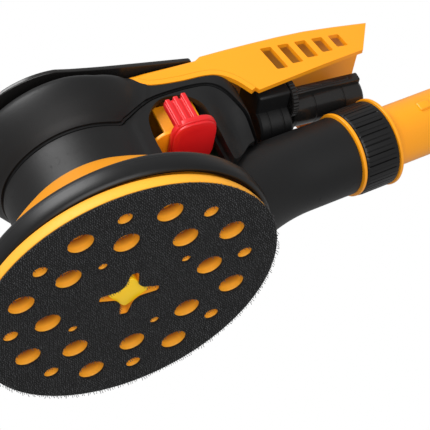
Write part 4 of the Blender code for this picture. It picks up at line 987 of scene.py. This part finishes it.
def exhaust_duct():
    """The tube is widened on its lower side towards the bowl."""
    steps = 30
    tube = turned([(DUCT_BORE, 0.0)]
                  + [(DUCT_RADIUS, DUCT_LENGTH * k / steps) for k in range(steps)]
                  + [(DUCT_RADIUS, DUCT_LENGTH - 0.5), (DUCT_RADIUS - 0.5, DUCT_LENGTH),
                     (DUCT_BORE, DUCT_LENGTH)], 112)
    for vert in tube.verts:
        radius = math.hypot(vert.co.x, vert.co.y)
        if radius > DUCT_RADIUS - 0.2 and vert.co.z < FLARE_END:
            share = (FLARE_END - vert.co.z) / FLARE_RUN
            low_side = clamp(vert.co.x / radius + 0.25)
            grow = min(FLARE_MOST, FLARE_RISE * share ** 2) * low_side / radius
            vert.co.x *= 1 + grow
            vert.co.y *= 1 + grow
    duct = carve(along_duct(tube, 0.0), ("DIFFERENCE", bowl_room()))
    piece("duct", duct, SOFT_BLACK, "housing", ["exhaust_duct"], crease=40.0)


exhaust_duct()

# ------------------------------------------------------------------ hose adaptor and collar
# The adaptor turns in the duct's end. It is one orange moulding: a thin ring against the
# duct, a sleeve under the black ribbed grip collar, a flange and the plain tube that the
# hose's cuff slips on, with two small lugs that hold the cuff.

COLLAR_RING = 1.9
COLLAR_LENGTH = 19.5
COLLAR_RADIUS = DUCT_RADIUS + 1.7
FLANGE_RADIUS = DUCT_RADIUS + 2.4
FLANGE_LENGTH = 1.6
ADAPTOR_RADIUS = 15.4
ADAPTOR_BORE = 13.2
ADAPTOR_END = COLLAR_RING + COLLAR_LENGTH + FLANGE_LENGTH + 46.0
RIBS = 26


def hose_adaptor():
    top = COLLAR_RING + COLLAR_LENGTH
    outline = soften([
        (ADAPTOR_BORE, -16.0), (DUCT_BORE - 1.4, -16.0), (DUCT_BORE - 1.4, 0.3),
        (COLLAR_RADIUS - 0.3, 0.3), (COLLAR_RADIUS - 0.3, COLLAR_RING),
        (DUCT_RADIUS - 1.8, COLLAR_RING), (DUCT_RADIUS - 1.8, top), (FLANGE_RADIUS, top),
        (FLANGE_RADIUS, top + FLANGE_LENGTH), (ADAPTOR_RADIUS + 3.4, top + FLANGE_LENGTH + 0.5),
        (ADAPTOR_RADIUS + 0.5, top + FLANGE_LENGTH + 2.4),
        (ADAPTOR_RADIUS, top + FLANGE_LENGTH + 6.0), (ADAPTOR_RADIUS, ADAPTOR_END - 0.6),
        (ADAPTOR_RADIUS - 0.6, ADAPTOR_END), (ADAPTOR_BORE, ADAPTOR_END)], 0.5, 3)
    tube = turned(outline, 128)
    lugs = []
    for side in (-1, 1):
        lug = rounded_box(-2.6, 2.6, ADAPTOR_RADIUS - 1.5, ADAPTOR_RADIUS + 1.0,
                          top + 22.6, top + 30.0, 0.8)
        lugs.append(("UNION", spin(lug, "Z", math.radians(90 - 90 * side))))
    piece("adaptor", along_duct(carve(tube, *lugs)), ORANGE, "hose_swivel",
          ["hose_adaptor"], crease=32.0)


def fluted(skin, flutes, shape, profile):
    """A closed drum with flutes round it; each level has a height, an inset and a depth."""
    bm = bmesh.new()
    rings = []
    for height, inset, depth in profile:
        ring = []
        for k in range(flutes):
            for share, groove in shape:
                turn = 2 * math.pi * (k + share) / flutes
                radius = skin - inset - depth * groove
                ring.append(bm.verts.new((radius * math.cos(turn), radius * math.sin(turn),
                                          height)))
        rings.append(ring)
    return loft(bm, rings)


def grip_collar():
    """Broad flat flutes with a fine groove between them, shallower towards both rims."""
    low, high = COLLAR_RING + 0.2, COLLAR_RING + COLLAR_LENGTH - 0.2
    drum = fluted(
        COLLAR_RADIUS, RIBS,
        ((0.0, 1.0), (0.05, 1.0), (0.10, 0.0), (0.30, -0.1), (0.52, 0.0), (0.56, 0.35),
         (0.60, 0.35), (0.64, 0.0), (0.82, -0.1), (0.95, 0.0)),
        ((low, 0.9, 0.0), (low + 0.35, 0.35, 0.1), (low + 0.9, 0.1, 0.15), (low + 1.7, 0.0, 0.8),
         (high - 2.6, 0.0, 0.8), (high - 1.7, 0.0, 0.15), (high - 0.5, 0.1, 0.0),
         (high, 0.6, 0.0)))
    collar = carve(drum, ("DIFFERENCE", rod(DUCT_RADIUS - 1.6, low - 2, high + 2)))
    piece("grip_collar", along_duct(collar), RUBBER, "hose_swivel",
          ["collar_grip"], crease=28.0)


hose_adaptor()
grip_collar()

# ------------------------------------------------------------------ start lever
# The paddle is a thin stiff plate of glossy black nylon that covers the palm grip and
# tapers along the neck to its hinge. Pressing it works the switch plunger below it.

SATIN_BLACK = finish("satin black nylon", (0.011, 0.0105, 0.010), (0.017, 0.016, 0.0155),
                     0.22, 0.34, grain=1200.0, depth=0.012, mottle=18.0)


def start_lever():
    high = span("start_lever")[1]
    reach = half_width("start_lever", 1)
    tail = span("start_lever", 0)[1]
    under = high - 2.2
    arc = [math.radians(86 + 188 * k / 60) for k in range(61)]
    outline = [(reach * math.cos(a) - 5.0, reach * math.sin(a)) for a in arc]
    side = smooth_line([(6.0, 39.1), (22.0, 35.9), (40.0, 32.8), (tail - 5.0, 28.5),
                        (tail - 1.2, 27.6), (tail, 25.6)], 4)
    outline += [(x, -y) for x, y in side] + side[::-1]
    plate = slab(outline, under, high)
    lug = rounded_box(61.1, 69.1, -5.5, 5.5, under - 8.4, under + 1.0, 0.8)
    pin = move(spin(rod(1.7, -9, 9, 32), "X", math.pi / 2), 65.7, 0, dome_top - 1.5)
    lever = carve(plate, ("UNION", carve(lug, ("DIFFERENCE", pin))))
    soft_edges(piece("paddle", lever, SATIN_BLACK, "start_lever",
                     ["start_lever"], crease=30.0), 0.7, 3)


start_lever()

# ------------------------------------------------------------------ control lever
# The small red lever under the neck swings about an upright pin. Its tongue is a rounded
# plate with a stepped lower layer; at its outer end a tab stands up with three ribs for the
# finger, each with a stepped tip. It is moulded in satin acetal.

RED = finish("red acetal", (0.64, 0.010, 0.014), (0.72, 0.016, 0.020), 0.32, 0.45,
             grain=1400.0, depth=0.014, mottle=60.0)
LEVER_X, LEVER_Y = (0.5 * sum(span("control_lever_pin", axis)) for axis in (0, 1))


def rounded_plan(x0, x1, y0, y1, radius):
    return soften([(x0, y0), (x1, y0), (x1, y1), (x0, y1)], radius, 8)


def control_lever():
    foot, tall = span("control_lever")
    under = slab(rounded_plan(-10.8, 10.8, -19.9, 8.6, 9.0), foot, foot + 1.7, 0.5, 3)
    over = slab(rounded_plan(-11.4, 11.4, -20.7, 9.0, 9.6), foot + 1.4, foot + 4.6, 0.7, 3)
    pad = slab(rounded_plan(-8.4, 9.0, -16.4, 6.0, 7.0), foot, foot + 1.0, 0.3, 2)
    tab = rounded_box(-9.2, 2.8, -18.0, -14.6, foot + 2.0, tall - 1.6, 0.7)
    solids = [over, pad, tab]
    for k in range(3):
        x = -9.0 + 4.4 * k
        tip = tall - 1.9 + 0.9 * k
        solids.append(rounded_box(x, x + 2.5, -19.7, -16.6, foot + 2.0, tip, 0.6))
        solids.append(rounded_box(x - 0.4, x + 2.9, -18.6, -14.7, foot + 2.4, tip - 1.3, 0.6))
    lever = carve(under, *(("UNION", solid) for solid in solids),
                  ("DIFFERENCE", rod(2.3, foot + 1.4, foot + 9.0, 40)))
    piece("red_lever", move(lever, LEVER_X, LEVER_Y, 0), RED, "control_lever",
          ["control_lever"], crease=34.0)


def lever_bracket():
    """An orange ledge above the tongue and the wall behind the tab carry the lever's pin."""
    (x0, x1), (y0, y1), (low, high) = (span("lever_bracket", axis) for axis in range(3))
    ledge = slab(soften([(x0, y0 + 4.0), (x0 + 5.0, y0), (x1 - 4.0, y0), (x1, y0 + 2.5),
                         (x1, y1), (x0, y1)], 2.0, 4), low, low + 2.0, 0.4, 2)
    wall = rounded_box(LEVER_X - 10.0, LEVER_X + 10.5, LEVER_Y - 4.6, LEVER_Y - 2.6, low + 1.0,
                       high, 0.5)
    pin = move(rod(2.2, low - 2, low + 5, 40), LEVER_X, LEVER_Y, 0)
    piece("lever_ledge", carve(ledge, ("UNION", wall), ("DIFFERENCE", pin)), ORANGE, "housing",
          ["lever_bracket"])


control_lever()
lever_bracket()

# ------------------------------------------------------------------ electronics box, inlet
# Behind the neck the black electronics box carries the knurled speed dial, and the mains inlet
# hangs below the hood's roof: a flat-topped block over a round barrel whose socket faces the
# tail.
# The box is finished in soft-touch black, the inlet in satin black nylon; both have parting
# lines.

DIAL_Y, DIAL_Z = (0.5 * sum(span("speed_dial", axis)) for axis in (1, 2))


def along_x(bm, x, y, z):
    return move(spin(bm, "Y", math.pi / 2), x, y, z)


def barrel(radius, length):
    """A round body with two narrow parting grooves and soft ends."""
    outline = [(AXIS, 0.0), (radius - 1.0, 0.0), (radius, 1.0)]
    for share in (0.3, 0.72):
        middle = share * length
        outline += [(radius, middle - 0.5), (radius - 0.35, middle - 0.2),
                    (radius - 0.35, middle + 0.2), (radius, middle + 0.5)]
    outline += [(radius, length - 1.0), (radius - 1.0, length), (AXIS, length)]
    return turned(outline, 72)


def electronics_box():
    low, high = span("electronics_box")
    x0, x1 = span("electronics_box", 0)
    radius = 11.6
    axis = low + radius
    body = rounded_box(x0, x1, -22.0, 22.0, axis - 2.0, high, 1.6, 4)
    tube = along_x(barrel(radius, x1 - x0), x0, 0.0, axis)
    bore = along_x(rod(2.3, 0.0, 12.0, 40), x1 - 9.0, DIAL_Y, DIAL_Z)
    box = carve(body, ("UNION", tube), ("DIFFERENCE", bore))
    piece("control_box", box, SOFT_BLACK, "housing", ["electronics_box"],
          crease=30.0)


def speed_dial():
    x0, x1 = span("speed_dial", 0)
    thick = x1 - x0
    wheel = fluted(half_width("speed_dial", 2), 30,
                   ((0.0, 1.0), (0.2, 0.3), (0.4, 0.0), (0.6, 0.0), (0.8, 0.3)),
                   ((0.0, 0.9, 0.0), (0.4, 0.1, 0.5), (thick - 0.5, 0.1, 0.5), (thick, 0.9, 0.0)))
    wheel = carve(wheel, ("DIFFERENCE", rod(2.2, -2.0, 2.4, 40)))
    piece("dial_wheel", along_x(wheel, x0, DIAL_Y, DIAL_Z), SATIN_BLACK, "speed_dial",
          ["speed_dial"], crease=26.0)


def inlet():
    axis = span("inlet_housing")[1] - 9.0
    x0, x1 = span("inlet_housing", 0)
    front = x0 + 4.8
    floor = x1 - 22.0
    block = rounded_box(front, x1, -11.5, 11.5, axis - 0.6, axis + 4.5, 0.9, 3)
    tube = along_x(barrel(9.0, x1 - front), front, 0.0, axis)
    foot = rounded_box(x0, front + 2.0, 1.0, 10.5, axis - 6.5, axis + 4.5, 0.8)
    shelf = rounded_box(front + 4.0, x1 - 6.0, -11.9, 11.9, axis + 0.6, axis + 3.2, 0.5)
    socket = along_x(turned([(AXIS, 0.0), (7.0, 0.0), (7.0, 21.0), (7.7, 22.5), (7.7, 26.0),
                             (AXIS, 26.0)], 72), floor, 0.0, axis)
    pins = [along_x(rod(1.4, -5.0, 1.0, 24), floor, y, axis) for y in (-4.0, 4.0)]
    housing = carve(block, *(("UNION", solid) for solid in (tube, foot, shelf)),
                    *(("DIFFERENCE", solid) for solid in (socket, *pins)))
    piece("mains_inlet", housing, SATIN_BLACK, "housing", ["inlet_housing"],
          crease=30.0)


electronics_box()
speed_dial()
inlet()

# ------------------------------------------------------------------ inner works
# The motor, eccentric, switch and electronics keep their modelled shapes. Each gets the
# finish of its real stock: ground steel, sintered iron, enamelled copper, cast aluminium,
# rubber, nylon, brass and a green circuit board.

STEEL = finish("ground steel", (0.52, 0.53, 0.55), (0.62, 0.63, 0.65), 0.2, 0.38, 1800.0,
               0.006, 90.0, 1.0)
INNER_FINISHES = (
    (STEEL, "pad_stud pad_spindle spindle_bearing_lower spindle_bearing_upper motor_shaft "
            "motor_bearing_lower motor_bearing_upper housing_screw_1 housing_screw_2 "
            "housing_screw_3 housing_screw_4 start_lever_pin control_lever_pin dial_shaft"),
    (finish("sintered iron", (0.16, 0.16, 0.17), (0.23, 0.23, 0.24), 0.42, 0.6, 2200.0, 0.02,
            120.0, 1.0), "counterweight rotor_magnet motor_stator"),
    (finish("enamelled copper", (0.62, 0.25, 0.09), (0.76, 0.36, 0.15), 0.24, 0.4, 1100.0,
            0.04, 200.0, 1.0), "winding_lower winding_upper"),
    (finish("cast aluminium", (0.58, 0.59, 0.61), (0.68, 0.69, 0.71), 0.32, 0.5, 1300.0,
            0.025, 80.0, 1.0), "bearing_carrier drive_heat_sink"),
    (RUBBER, "brake_seal adaptor_seal"),
    (SATIN_BLACK, "cooling_fan switch_body"),
    (RED, "switch_plunger"),
    (finish("plated brass", (0.72, 0.54, 0.24), (0.82, 0.66, 0.36), 0.2, 0.34, 1500.0, 0.006,
            150.0, 1.0), "inlet_pin_live inlet_pin_neutral"),
    (finish("green board", (0.012, 0.10, 0.035), (0.02, 0.15, 0.06), 0.3, 0.5, 1600.0, 0.012,
            240.0), "circuit_board"),
    (finish("capacitor sleeve", (0.035, 0.05, 0.13), (0.05, 0.07, 0.17), 0.26, 0.4, 800.0,
            0.008, 60.0), "capacitor_left capacitor_right"),
)


def dress_inner_works():
    for look, nodes in INNER_FINISHES:
        for node in nodes.split():
            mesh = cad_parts[node].data
            mesh.materials.clear()
            mesh.materials.append(look)


def lever_spring():
    """A copy of the CAD spring, smooth shaded in ground steel, in place of the hidden CAD part.
    """
    coil = bmesh.new()
    coil.from_mesh(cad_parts["start_lever_spring"].data)
    bmesh.ops.remove_doubles(coil, verts=coil.verts, dist=1e-7)
    thing = as_object("lever_spring", coil)
    thing.data.shade_smooth()
    thing.data.materials.append(STEEL)
    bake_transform(thing)
    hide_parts("start_lever_spring")


dress_inner_works()
lever_spring()
